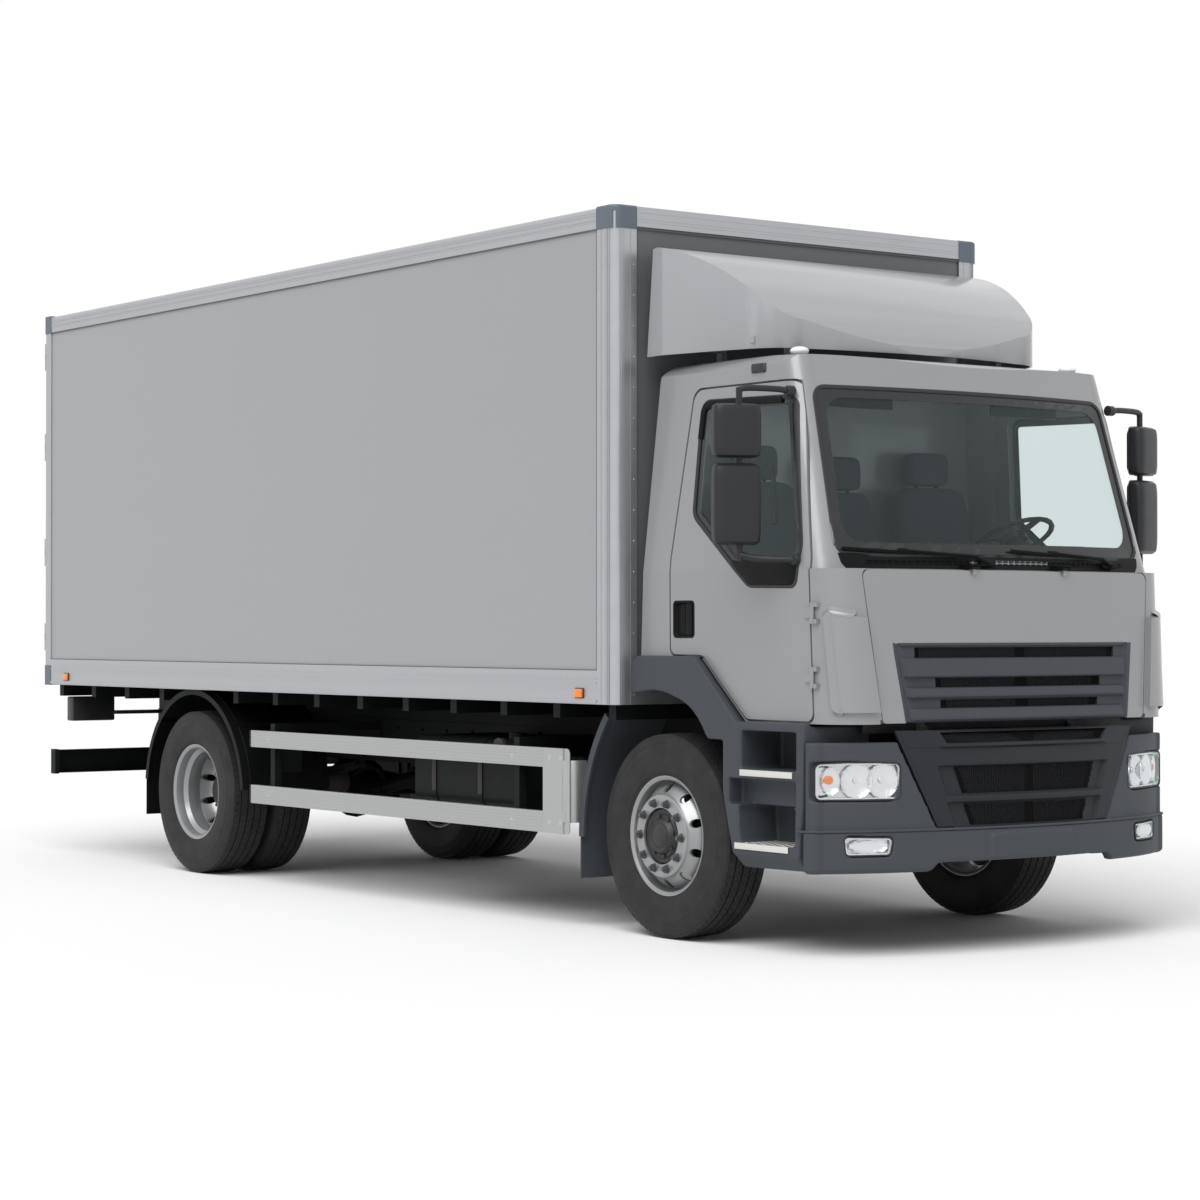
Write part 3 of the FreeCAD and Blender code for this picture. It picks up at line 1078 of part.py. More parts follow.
def bumper():
    """Moulded bumper: upper part round the headlamps, lower part with the fog lamps."""
    upper = bumper_plan(0, BUMPER_SPLIT, BUMPER_TOP)
    lower = bumper_plan(12, BUMPER_LOW + 12, BUMPER_SPLIT - 8)
    skirt = bumper_plan(0, BUMPER_LOW, BUMPER_LOW + 12)
    lower = lower.fuse(bumper_plan(0, BUMPER_SPLIT - 8, BUMPER_SPLIT)).fuse(skirt)
    rise = front([(-620, 380), (620, 380), (560, 442), (-560, 442)], FRONT_AXLE_X, NOSE_X + 50)
    body = upper.fuse(lower).cut(bumper_plan(-BUMPER_T, 300, 1200)).cut(rise)
    ledge = bumper_plan(-4, BUMPER_TOP - 40, BUMPER_TOP - 22).cut(
        bumper_plan(-110, 300, 1200)).cut(front(insert_outline(4, 60), 0, NOSE_X + 50))
    body = body.cut(front(insert_outline(1, 60), FRONT_AXLE_X + 1000, NOSE_X + 60))
    eyes = front(lamp_outline(3), FRONT_AXLE_X + 1150, NOSE_X + 60)
    pool = bumper_plan(40, 300, 1200).cut(bumper_plan(-32, 300, 1200))
    fogs = front(fog_outline(3), FRONT_AXLE_X + 1000, NOSE_X + 60)
    for tool in both(eyes) + both(fogs):
        body = body.cut(tool.common(pool))
    plate = block(NOSE_X - 60, NOSE_X - 4, -265, 265, 452, 566)
    body = body.fuse(plate.cut(bumper_plan(-20, 300, 1200)))
    return joined([body, ledge])


def bumper_beam():
    """Cross beam on the frame's front end, with stays out to the bumper's inner face."""
    room = bumper_plan(-BUMPER_T, 300, 1200)
    beam = block(FRAME_FRONT, FRAME_FRONT + 40, -900, 900, 560, 690).common(room)
    stays = []
    for way in (1, -1):
        stays.append(block(FRAME_FRONT - 12, FRAME_FRONT, way * 392 - 30, way * 392 + 30, 600, 800))
        for y in (560.0, 860.0):
            stay = block(FRAME_FRONT, NOSE_X, way * y - 20, way * y + 20, 602, 688)
            stays.append(stay.common(room))
    insert_back = bumper_plan(-BUMPER_T + 6, 300, 1200)
    return joined([beam] + stays).common(insert_back)


def bumper_grille():
    """Centre insert of the bumper with three mesh openings set back in it."""
    zone = front(insert_outline(-SEAT), FRONT_AXLE_X + 1000, NOSE_X + 60)
    t = BUMPER_T
    face = bumper_plan(8, BUMPER_SPLIT, INSERT_TOP_Z + 1, 12).cut(
        bumper_plan(-t + 12, 300, 1200))
    lean = side([(NOSE_X - 96, INSERT_TOP_Z + 30), (NOSE_X + 60, INSERT_TOP_Z + 30),
                 (NOSE_X + 60, 900), (NOSE_X + 2, 900), (NOSE_X - 28, 1005)], -1300, 1300)
    body = face.common(zone).cut(lean)
    back = bumper_plan(-t + 14, BUMPER_SPLIT, INSERT_TOP_Z + 1).cut(
        bumper_plan(-t, 300, 1200)).common(zone)
    for z0, z1, a, b in MESHES:
        hole = front(rounded([(-b, z0), (b, z0), (a, z1), (-a, z1)], 18), FRONT_AXLE_X + 1000,
                     NOSE_X + 60)
        body = body.cut(hole)
    return joined([body, back])


def lamp_units():
    """Headlamps, fog lamps, side markers and tail lamps, each seated in its own recess."""
    out = []
    pool = bumper_plan(-2, 300, 1200).cut(bumper_plan(-31, 300, 1200))
    eye = front(lamp_outline(-1), FRONT_AXLE_X + 1152, NOSE_X + 60).common(pool)
    pool = bumper_plan(4, 300, 1200).cut(bumper_plan(-31, 300, 1200))
    fog = front(fog_outline(-1), FRONT_AXLE_X + 1000, NOSE_X + 60).common(pool)
    out += both(solid_of(eye)) + both(solid_of(fog))
    for x in (BOX_FRONT - 330, BOX_REAR + 300):
        marker = side(rounded([(x, 1184), (x + 76, 1184), (x + 76, 1238), (x, 1238)], 8),
                      -BOX_W / 2 - 18, -BOX_W / 2)
        out += both(marker)
    x = TAIL_X + 170
    tail = front(rounded([(830, 905), (1150, 905), (1150, 1075), (830, 1075)], 24), x, x + 110)
    arm = block(x + 60, x + 100, RAIL_Y, 840, 950, 975)
    arm = arm.fuse(block(x + 60, x + 160, RAIL_Y, RAIL_Y + 8, 880, 975))
    out += both(joined([tail, arm]))
    return out


# ---- box body --------------------------------------------------------------------------------
BEARER_PITCH = 470.0


def box_floor():
    """Deck on cross bearers and two long beams that sit on the frame rails."""
    w = BOX_W / 2 - RAIL_DEPTH
    x0, x1 = BOX_REAR + REAR_POST, BOX_FRONT - PANEL_T - 6
    pieces = [block(x0, x1, -w, w, BOX_Z, BOX_Z + FLOOR_T)]
    z0 = RAIL_Z + RAIL_H
    for way in (1, -1):
        y = way * (RAIL_Y - RAIL_FLANGE / 2)
        pieces.append(block(x0, x1 - 20, y - 32, y + 32, z0, BOX_Z))
    n = int((x1 - x0) / BEARER_PITCH)
    for i in range(n + 1):
        x = x0 + 20 + i * (x1 - x0 - 100) / n
        near = abs(x + 30 - REAR_AXLE_X - 10) < 380
        half = 585.0 if near else BOX_W / 2 - RAIL_DEPTH
        pieces.append(block(x, x + 60, -half, half, BOX_Z - 78, BOX_Z))
    return joined(pieces)


def side_rails():
    x0, x1 = BOX_REAR + REAR_POST, BOX_FRONT - FRONT_POST
    yo = BOX_W / 2
    low = [(yo - RAIL_DEPTH, BOX_Z), (yo, BOX_Z), (yo, BOX_Z + BOTTOM_RAIL_H),
           (yo - 8, BOX_Z + BOTTOM_RAIL_H), (yo - 8, BOX_Z + 110), (yo - PANEL_T, BOX_Z + 110),
           (yo - PANEL_T, BOX_Z + FLOOR_T + 14), (yo - RAIL_DEPTH, BOX_Z + FLOOR_T + 14)]
    t = BOX_TOP
    high = [(yo, t - TOP_RAIL_H), (yo, t - 26), (yo - 26, t, yo - 7.6, t - 7.6),
            (yo - RAIL_DEPTH - 30, t), (yo - RAIL_DEPTH - 30, t - 8), (yo - PANEL_T, t - PANEL_T),
            (yo - PANEL_T, t - 62), (yo - 8, t - 62), (yo - 8, t - TOP_RAIL_H)]
    bottoms, tops = [], []
    for way in (1, -1):
        solid = front(low, x0, x1)
        ribs = [block(x0, x1, yo - 1, yo + 3, BOX_Z + z, BOX_Z + z + 7) for z in (104, 128)]
        ribs.append(block(x0, x1, yo - 1, yo + 4, BOX_Z + 8, BOX_Z + 22))
        solid = joined([solid] + ribs)
        bottoms.append(solid if way > 0 else mirrored(solid))
        roof = front(high, x0, x1)
        ribs = [block(x0, x1, yo - 1, yo + 3, t - z - 7, t - z) for z in (34, 58)]
        roof = joined([roof] + ribs)
        tops.append(roof if way > 0 else mirrored(roof))
    return bottoms, tops


def box_walls():
    """Side walls, front wall and roof: sandwich panels held between the rails."""
    yo, t = BOX_W / 2, PANEL_T
    x0, x1 = BOX_REAR + REAR_POST, BOX_FRONT - t
    side_wall = block(x0, x1 - 6, yo - t, yo - 8, BOX_Z + 110, BOX_TOP - 62)
    front_wall = block(BOX_FRONT - t, BOX_FRONT - 8, -yo + t, yo - t, BOX_Z + 60, BOX_TOP - 62)
    roof = block(x0, BOX_FRONT - 60, -yo + 91, yo - 91, BOX_TOP - t, BOX_TOP - 8)
    lip = block(x0, BOX_FRONT - 60, -yo + t, yo - t, BOX_TOP - t - 8, BOX_TOP - t)
    return both(side_wall), front_wall, roof.fuse(lip).removeSplitter()


def corner_post():
    """Front corner extrusion: two flanges and a round outer corner."""
    x, y, p, t = BOX_FRONT, BOX_W / 2, FRONT_POST, PANEL_T
    r = 62.0
    k = r * (1 - sqrt(0.5))
    return plan([(x - p, -y), (x - p, -y + 8), (x - t, -y + 8), (x - t, -y + t), (x - 8, -y + t),
                 (x - 8, -y + p), (x, -y + p), (x, -y + r), (x - r, -y, x - k, -y + k)][::1],
                BOX_Z, BOX_TOP - 26)


def box_front_frame():
    x, y, p, t = BOX_FRONT, BOX_W / 2, FRONT_POST, PANEL_T
    post = corner_post()
    head = block(x - 60, x, -y + p, y - p, BOX_TOP - 100, BOX_TOP)
    head = head.cut(block(x - 61, x - 8, -y, y, BOX_TOP - 101, BOX_TOP - 8))
    head_lip = block(x - 60, x - 8, -y + t, y - t, BOX_TOP - 34, BOX_TOP - 26)
    sill = block(x - t, x, -y + p, y - p, BOX_Z, BOX_Z + 60)
    strip = block(x - 8, x, -y + p, y - p, BOX_Z + 60, BOX_Z + 150)
    caps = block(x - p, x, -y + 20, -y + p, BOX_TOP - 34, BOX_TOP - 26)
    top_strip = block(x - 8, x, -y + p - 1, y - p + 1, BOX_TOP - 101, BOX_TOP - 26)
    return joined([post, mirrored(post), head, head_lip, sill, strip, top_strip])


def box_rear_frame():
    x, y, p = BOX_REAR, BOX_W / 2, REAR_POST
    outer = block(x + 10, x + p, -y, y, BOX_Z, BOX_TOP)
    opening = block(x - 1, x + p + 1, -y + p, y - p, BOX_Z + BOTTOM_RAIL_H, BOX_TOP - TOP_RAIL_H)
    frame = outer.cut(opening)
    stop = block(x + 50, x + p, -y + p - 1, y - p + 1, BOX_Z + BOTTOM_RAIL_H - 1,
                 BOX_TOP - TOP_RAIL_H + 1)
    stop = stop.cut(block(x, x + p + 1, -y + p + 18, y - p - 18, BOX_Z + BOTTOM_RAIL_H + 14,
                          BOX_TOP - TOP_RAIL_H - 18))
    pieces = [frame, stop]
    for z in REAR_HINGES:
        for s in (1, -1):
            for way in (1, -1):
                zc = z + s * (HINGE_H + 2)
                c = V(REAR_PIN_X, way * REAR_PIN_Y, zc)
                pieces.append(rod(c + V(0, 0, -HINGE_H / 2), c + V(0, 0, HINGE_H / 2), 11.0))
                ya, yb = sorted((way * (REAR_PIN_Y - 8), way * (REAR_PIN_Y + 8)))
                pieces.append(block(REAR_PIN_X, x + 12, ya, yb, zc - HINGE_H / 2,
                                    zc + HINGE_H / 2))
        for way in (1, -1):
            pieces.append(rod(V(REAR_PIN_X, way * REAR_PIN_Y, z - HINGE_H * 0.6),
                              V(REAR_PIN_X, way * REAR_PIN_Y, z + HINGE_H * 0.6), 5.0))
    return joined(pieces)


REAR_HINGES = (1480.0, 2060.0, 2780.0, 3400.0)
HINGE_H = 60.0
REAR_PIN_X = BOX_REAR - 14.0
REAR_PIN_Y = BOX_W / 2 - 14.0


def rear_door(way):
    """Rear door leaf with its hinge straps, lock rod and handle."""
    x, y = BOX_REAR, BOX_W / 2
    z0, z1 = BOX_Z + BOTTOM_RAIL_H + 8, BOX_TOP - TOP_RAIL_H - 8
    leaf = block(x, x + 36, CLEAR, y - REAR_POST - 8, z0, z1)
    pieces = [leaf]
    for z in REAR_HINGES:
        pieces.append(block(x - 7, x, y - REAR_POST - 150, REAR_PIN_Y - 4, z - 26, z + 26))
        pieces.append(rod(V(REAR_PIN_X, REAR_PIN_Y, z - HINGE_H / 2 + 1),
                          V(REAR_PIN_X, REAR_PIN_Y, z + HINGE_H / 2 - 1), 11.0))
        pieces.append(block(REAR_PIN_X, x - 1, REAR_PIN_Y - 11, REAR_PIN_Y, z - 26, z + 26))
    pieces.append(rod(V(x - 17, LOCK_Y, z0 - 26), V(x - 17, LOCK_Y, z1 - 10), 11.0))
    for z in (z0 + 60, z0 + 760, z0 + 1400, z1 - 70):
        pieces.append(block(x - 30, x, LOCK_Y - 40, LOCK_Y + 40, z - 18, z + 18))
    pieces.append(block(x - 28, x - 18, LOCK_Y - 260, LOCK_Y, 1646, 1672))
    pieces.append(block(x - 24, x, LOCK_Y - 262, LOCK_Y - 222, 1634, 1684))
    solid = joined(pieces)
    bores = [rod(V(REAR_PIN_X, REAR_PIN_Y, z - 60), V(REAR_PIN_X, REAR_PIN_Y, z + 60), 5.3)
             for z in REAR_HINGES]
    solid = cut(solid, bores)
    return solid if way > 0 else mirrored(solid)


LOCK_Y = 420.0


CAP_T = 4.0


def corner_caps():
    """Moulded corner caps at the front top and the four rear corners."""
    y, t, p, g = BOX_W / 2, BOX_TOP, FRONT_POST, CAP_T
    x = BOX_FRONT
    cap = block(x - p, x + g, -y - g, -y + p, t - 115, t + g)
    upright = [e for e in cap.Edges if abs(e.CenterOfMass.x - x - g) < 1
               and abs(e.CenterOfMass.y + y + g) < 1]
    cap = cap.makeFillet(58.0, upright)
    upper = [e for e in cap.Edges if abs(e.CenterOfMass.z - t - g) < 1
             and (e.CenterOfMass.x > x - 80 and e.CenterOfMass.y < -y + 80)]
    cap = cap.makeFillet(14.0, upper)
    core = block(x - p - 1, x - 8, -y + 8, -y + p + 1, t - 120, t - 26)
    roof = block(x - p - 1, x - 60, -y + RAIL_DEPTH + 31, 0, t - PANEL_T - 8, t - 8)
    cap = solid_of(cap.cut(corner_post()).cut(core).cut(roof))
    out = both(cap)
    x, p = BOX_REAR, REAR_POST
    for z0, z1 in ((t - 115, t + g), (BOX_Z - g, BOX_Z + 130)):
        skin = block(x + 10 - g, x + p, -y - g, -y + p, z0, z1)
        skin = skin.cut(block(x + 10, x + p + 1, -y, -y + p + 1, max(z0 - 1, BOX_Z),
                              min(z1 + 1, t)))
        out += both(skin)
    return out


# ---- mirrors ---------------------------------------------------------------------------------
MIRROR_X = FRONT_AXLE_X + 862.0
MIRROR_Y = 1362.0


def mirror_pair():
    """Two mirror heads on a bent tube arm fixed to the right door."""
    turn = 20.0
    pieces = []
    for z0, z1 in ((2340.0, 2592.0), (1930.0, 2312.0)):
        head = plan([(-46, -88), (-34, -108), (-14, -118), (14, -118), (34, -108), (46, -88),
                     (46, 88), (34, 108), (14, 118), (-14, 118), (-34, 108), (-46, 88)], z0, z1)
        head = head.makeChamfer(14.0, [e for e in head.Edges if abs(e.tangentAt(0).z) < 0.5])
        head.rotate(V(0, 0, 0), V(0, 0, 1), -turn)
        head.translate(V(MIRROR_X, -MIRROR_Y, 0))
        pieces.append(head)
    xa, ya = MIRROR_X - 4, -MIRROR_Y + 20
    top = V(FRONT_AXLE_X + 905, -1066, 2662)
    low = V(FRONT_AXLE_X + 1010, -1112, WAIST_Z + 42)
    pieces.append(bar(V(xa, ya, 1890), V(xa, ya, 2640), 15.0))
    pieces.append(bar(V(xa, ya - 10, 2630), top + V(0, -14, 0), 13.0))
    pieces.append(bar(V(xa, ya - 10, 1900), low + V(0, -14, 0), 13.0))
    pieces.append(bar(top + V(0, -24, 0), top + V(0, 32, 0), 26.0, 12))
    pieces.append(bar(low + V(0, -24, 0), low + V(0, 22, 0), 28.0, 12))
    return solid_of(joined(pieces).cut(cab_solid(0)))


# ---- write every piece -----------------------------------------------------------------------
os.makedirs("parts", exist_ok=True)

for way, name in ((1, "left"), (-1, "right")):
    save("front_tyre_" + name, tyre(FRONT_AXLE_X, FRONT_TRACK_Y, way))
    save("front_rim_" + name, front_rim(way))
    save("rear_tyres_" + name, *[tyre(REAR_AXLE_X, TWIN_Y + k * TWIN_HALF_GAP, way)
                                 for k in (1, -1)])
    save("rear_rims_" + name, rear_rims(way))
    save("knuckle_" + name, knuckle(way))
    save("rear_door_" + name, rear_door(way))

save("tie_rod", tie_rod())
save("front_axle", front_axle())
save("rear_axle", rear_axle())
save("leaf_springs", *leaf_springs())
save("chassis_frame", joined([chassis_frame(), bumper_beam()]))
save("engine_block", engine_block())
save("propeller_shaft", propeller_shaft())
save("fuel_tank", fuel_tank())
save("air_tanks", *air_tanks())
save("battery_box", battery_box())
save("silencer", silencer())
guard, guard_arms = side_guard()
save("side_guards", *both(guard))
save("guard_arms", *[s for arm in guard_arms for s in both(arm)])
save("rear_underrun", rear_underrun())
save("rear_mudguards", *rear_mudguards())
save("front_fenders", *front_fenders())
save("step_boxes", *both(step_box()))
save("bumper", bumper())
save("bumper_grille", bumper_grille())
save("lamp_units", *lamp_units())

save("box_floor", box_floor())
walls, box_front, box_roof = box_walls()
save("box_sides", *walls)
save("box_front_wall", box_front)
save("box_roof", box_roof)
bottoms, tops = side_rails()
save("box_bottom_rails", *bottoms)
save("box_top_rails", *tops)
save("box_front_frame", box_front_frame())
save("box_rear_frame", box_rear_frame())
save("corner_caps", *corner_caps())

for name, shape in cab_pieces().items():
    save(name, shape)
save("roof_fairing", roof_fairing())
save("wipers", *wipers())
save("dashboard", dashboard())
save("seats", *seats())
save("mirror_right", mirror_pair())
save("mirror_left", mirrored(mirror_pair()))
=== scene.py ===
from math import atan2, cos, exp, hypot, pi, radians, sin, sqrt, tan

import bmesh
import bpy
from mathutils import Matrix, Vector


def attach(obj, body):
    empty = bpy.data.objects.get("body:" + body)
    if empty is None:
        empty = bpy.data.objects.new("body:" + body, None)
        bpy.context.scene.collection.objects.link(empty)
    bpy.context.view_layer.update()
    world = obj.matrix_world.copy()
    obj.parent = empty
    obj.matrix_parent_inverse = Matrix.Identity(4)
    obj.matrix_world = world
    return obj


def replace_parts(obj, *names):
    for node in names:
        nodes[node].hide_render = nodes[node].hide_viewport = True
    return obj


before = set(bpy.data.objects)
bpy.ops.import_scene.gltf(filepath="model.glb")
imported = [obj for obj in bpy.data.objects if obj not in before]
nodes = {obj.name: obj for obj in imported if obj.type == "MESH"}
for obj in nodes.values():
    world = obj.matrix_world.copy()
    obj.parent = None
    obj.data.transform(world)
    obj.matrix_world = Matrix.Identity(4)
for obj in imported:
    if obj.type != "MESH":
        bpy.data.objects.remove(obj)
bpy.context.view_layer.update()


# ---- stage ----
# Pale floor, soft sky and one broad lamp from the truck's right front, and the camera that
# looks at the right front corner from about a driver's eye height.
FLOOR_COLOUR = "#F6F6F6"
SKY_COLOUR = "#FFFFFF"
SKY_LIGHT, SKY_SEEN = 0.45, 1.0
SUN_STRENGTH, SUN_TURN = 2.6, (radians(38), 0, radians(36))
CAMERA_AT, CAMERA_TURN = (14.1055, -9.7942, 1.5464), (radians(90.54), 0, radians(53.98))
LENS_MM, FILM_MM = 86.43, 36.0


def srgb(text):
    """Linear colour from a display colour written as #RRGGBB."""
    out = []
    for i in (1, 3, 5):
        c = int(text[i:i + 2], 16) / 255
        out.append(c / 12.92 if c <= 0.04045 else ((c + 0.055) / 1.055) ** 2.4)
    return (*out, 1.0)


def add(tree, kind, links=(), **values):
    """One shader node: values set its properties or sockets, links join its inputs to a socket
    or to another node's first output."""
    node = tree.nodes.new("ShaderNode" + kind)
    for name, value in values.items():
        if hasattr(node, name):
            setattr(node, name, value)
        else:
            node.inputs[name.replace("_", " ")].default_value = value
    for name, source in links:
        tree.links.new(getattr(source, "outputs", [source])[0], node.inputs[name])
    return node


def new_material(name):
    mat = bpy.data.materials.new(name)
    mat.use_nodes = True
    mat.node_tree.nodes.clear()
    return mat, mat.node_tree


def finish_tree(tree, shader):
    add(tree, "OutputMaterial", [("Surface", shader)])


bpy.ops.mesh.primitive_plane_add(size=160.0)
floor = bpy.context.object
floor.name = "floor"
mat, tree = new_material("pale studio floor")
finish_tree(tree, add(tree, "BsdfPrincipled", Base_Color=srgb(FLOOR_COLOUR), Roughness=0.9))
floor.data.materials.append(mat)

world = bpy.data.worlds.new("studio sky")
bpy.context.scene.world = world
world.use_nodes = True
tree = world.node_tree
tree.nodes.clear()
rays = add(tree, "LightPath").outputs
shown = rays["Is Camera Ray"]
for ray in ("Is Glossy Ray", "Is Transmission Ray"):
    shown = add(tree, "Math", [(0, shown), (1, rays[ray])], operation="MAXIMUM")
level = add(tree, "MapRange", [("Value", shown)], To_Min=SKY_LIGHT, To_Max=SKY_SEEN)
sky = add(tree, "Background", [("Strength", level)], Color=srgb(SKY_COLOUR))
add(tree, "OutputWorld", [("Surface", sky)])


def place_object(name, data):
    obj = bpy.data.objects.new(name, data)
    bpy.context.scene.collection.objects.link(obj)
    return obj


sun = bpy.data.lights.new("broad lamp", "SUN")
sun.energy, sun.angle = SUN_STRENGTH, radians(50)
place_object("broad lamp", sun).rotation_euler = SUN_TURN

camera_data = bpy.data.cameras.new("camera")
camera_data.lens, camera_data.sensor_width = LENS_MM, FILM_MM
camera = place_object("camera", camera_data)
camera.location = CAMERA_AT
camera.rotation_euler = CAMERA_TURN
bpy.context.scene.camera = camera
bpy.context.scene.view_settings.view_transform = "Standard"


# ---- body panels ----
# Flat, lightly mottled painted panels of the load body; their paint is thin enough to
# show a faint cloudiness and a fine orange-peel.
MM = 0.001


def mixed(tree, share, one, two):
    """The socket of a colour that goes from one to two with share."""
    node = add(tree, "Mix", [("Factor", share)], data_type="RGBA")
    node.inputs[6].default_value, node.inputs[7].default_value = one, two
    return node.outputs[2]


def finish(name, colour, rough, metallic=0.0, vary=0.05, patch=400.0, grain=0.0, grain_mm=2.0,
           coat=0.0, stretch=(1, 1, 1), specular=0.5):
    """A solid finish: slow mottling of its colour and gloss, fine grain in its bump; patch and
    grain_mm are the sizes of both in millimetres, vary the mottling's share of the colour."""
    spread = 0.08
    mat, tree = new_material(name)
    place = add(tree, "TexCoord").outputs["Object"]
    if stretch != (1, 1, 1):
        place = add(tree, "Mapping", [("Vector", place)], Scale=stretch).outputs[0]
    slow = add(tree, "TexNoise", [("Vector", place)], Scale=1 / (patch * MM),
               Detail=4.0, Roughness=0.55).outputs["Fac"]
    dark, light = [[min(1.0, c * f) for c in srgb(colour)[:3]] + [1.0]
                   for f in (1 - vary, 1 + vary)]
    tint = mixed(tree, slow, dark, light)
    gloss = add(tree, "MapRange", [("Value", slow)], From_Min=0.25, From_Max=0.75,
                To_Min=rough - spread / 2, To_Max=rough + spread / 2)
    shader = add(tree, "BsdfPrincipled", [("Base Color", tint), ("Roughness", gloss)],
                 Metallic=metallic, Coat_Weight=coat, Coat_Roughness=0.12,
                 Specular_IOR_Level=specular)
    if grain:
        fine = add(tree, "TexNoise", [("Vector", place)], Scale=1 / (grain_mm * MM),
                   Detail=3.0).outputs["Fac"]
        bump = add(tree, "Bump", [("Height", fine)], Strength=grain, Distance=0.2 * MM)
        tree.links.new(bump.outputs[0], shader.inputs["Normal"])
    finish_tree(tree, shader)
    return mat


def dress(mat, *names):
    """Gives the frame's own nodes this material."""
    for name in names:
        mesh = nodes[name].data
        mesh.materials.clear()
        mesh.materials.append(mat)


def welded(name):
    """The modifiers of a node whose coincident seam points are joined first."""
    stack = nodes[name].modifiers
    stack.new("weld", "WELD").merge_threshold = 0.0001
    return stack


def soften(width, *names):
    """Welds the nodes' seams and rounds their sharp edges, so that they catch the light."""
    for name in names:
        bevel = welded(name).new("round", "BEVEL")
        bevel.width, bevel.segments = width * MM, 2
        bevel.limit_method, bevel.angle_limit = "ANGLE", radians(32)


def mould(cell, rounds, *names):
    """Gives moulded nodes an even skin and eases their edges over a few cells."""
    for name in names:
        stack = welded(name)
        hide = stack.new("even skin", "REMESH")
        hide.mode, hide.voxel_size, hide.use_smooth_shade = "VOXEL", cell * MM, True
        ease = stack.new("ease", "SMOOTH")
        ease.factor, ease.iterations = 0.5, rounds


panel_paint = finish("painted plywood panel", "#97989B", 0.42, vary=0.025, patch=700,
                     grain=0.15, grain_mm=3, coat=0.15)
dress(panel_paint, "box_sides", "box_roof", "rear_door_left", "rear_door_right")
# The same plywood as the sides, its colour made darker as painted shade: the flat shade behind the
# cab.
shaded_wall_paint = finish("plywood darkened as painted shade", "#5F6164", 0.45, vary=0.03, patch=500, grain=0.15,
                    grain_mm=3)
dress(shaded_wall_paint, "box_front_wall")

# Pressed through a die and left bare: a soft sheen with fine streaks along the truck.
aluminium = finish("mill aluminium extrusion", "#AEB0B3", 0.34, metallic=0.75, vary=0.05,
                   patch=120, grain=0.2, grain_mm=1.2, stretch=(0.05, 1, 1))
dress(aluminium, "box_bottom_rails", "box_top_rails", "box_front_frame", "box_rear_frame")
# Matt corners with a slight grain, darker than the rails that they join.
cap_plastic = finish("blue-grey cast corner", "#5A626D", 0.45, vary=0.05, patch=60, grain=0.3)
dress(cap_plastic, "corner_caps")


# ---- cab skin ----
# Silver-grey metallic paint under a clear coat, sprayed on the pressed steel cab and on the
# moulded fairing; below them bare grained mouldings and the painted chassis.

# Fine flakes under a clear coat: broad soft highlights with a wet edge to them.
cab_paint = finish("silver-grey clear-coated paint", "#8A8B8D", 0.36, metallic=0.15, vary=0.02,
                   patch=500, grain=0.1, grain_mm=1.5, coat=0.6)
dress(cab_paint, "door_left", "door_right", "front_panel", "cab_rear_wall", "cab_roof",
      "cab_side_frames", "cab_corner_panels", "cab_floor", "cab_firewall")
# Moulded and painted apart from the cab, it comes out a shade paler.
fairing_paint = finish("paler clear-coated moulding", "#97999C", 0.34, metallic=0.1, vary=0.02,
                       patch=500, grain=0.1, grain_mm=1.5, coat=0.6)
dress(fairing_paint, "roof_fairing")
soften(14, "roof_fairing")

# Grained mouldings, coloured through: dull, with only a faint sheen at a low angle.
plastic = finish("blue-grey moulded plastic", "#41454A", 0.55, vary=0.04, patch=200, grain=0.5,
                 grain_mm=1.2, specular=0.22)
dress(plastic, "step_boxes", "bumper", "front_fenders")
mould(7, 8, "step_boxes", "bumper")
dark_plastic = finish("dark grey moulded plastic", "#404248", 0.5, vary=0.04, patch=150, grain=0.5,
                      grain_mm=1.2, specular=0.22)
black_plastic = finish("black grained plastic", "#0F1011", 0.48, vary=0.06, patch=90,
                       grain=0.4, grain_mm=1.0, specular=0.12)
dress(black_plastic, "rear_mudguards", "dashboard")
# Thick black paint, cloudy with dust, that stays quiet in the shade below the body.
chassis_paint = finish("black chassis paint", "#151718", 0.5, vary=0.12, patch=90, grain=0.4,
                       grain_mm=3, specular=0.1)
dress(chassis_paint, "chassis_frame", "leaf_springs", "front_axle", "rear_axle", "knuckle_left",
      "knuckle_right", "tie_rod", "engine_block", "propeller_shaft", "air_tanks", "battery_box",
      "silencer", "rear_underrun", "fuel_tank", "box_floor", "guard_arms")


# ---- glazing ----
# Lightly tinted safety glass: the bonded windscreen and the panes in the doors; the clear
# covers of the lamps are moulded of a like material.
def clear_material(name, tint, sheen="#DCEBEE", mirror=0.035, rough=0.02):
    """Thin pane: see-through, with the room mirrored in it, more so at a low angle."""
    mat, tree = new_material(name)
    see = add(tree, "BsdfTransparent", Color=srgb(tint))
    gloss = add(tree, "BsdfGlossy", Color=srgb(sheen), Roughness=rough)
    facing = add(tree, "LayerWeight", Blend=0.5).outputs["Facing"]
    rise = add(tree, "Math", [(0, facing)], operation="POWER")
    rise.inputs[1].default_value = 5.0
    share = add(tree, "MapRange", [("Value", rise)], To_Min=mirror)
    finish_tree(tree, add(tree, "MixShader", [(0, share), (1, see), (2, gloss)]))
    return mat


glass = clear_material("tinted safety glass", "#F5F8F8", "#CFDCDE", mirror=0.030)
dress(glass, "windscreen", "door_glass_left", "door_glass_right")
lens = clear_material("clear lamp lens", "#F6F6F6", mirror=0.06)


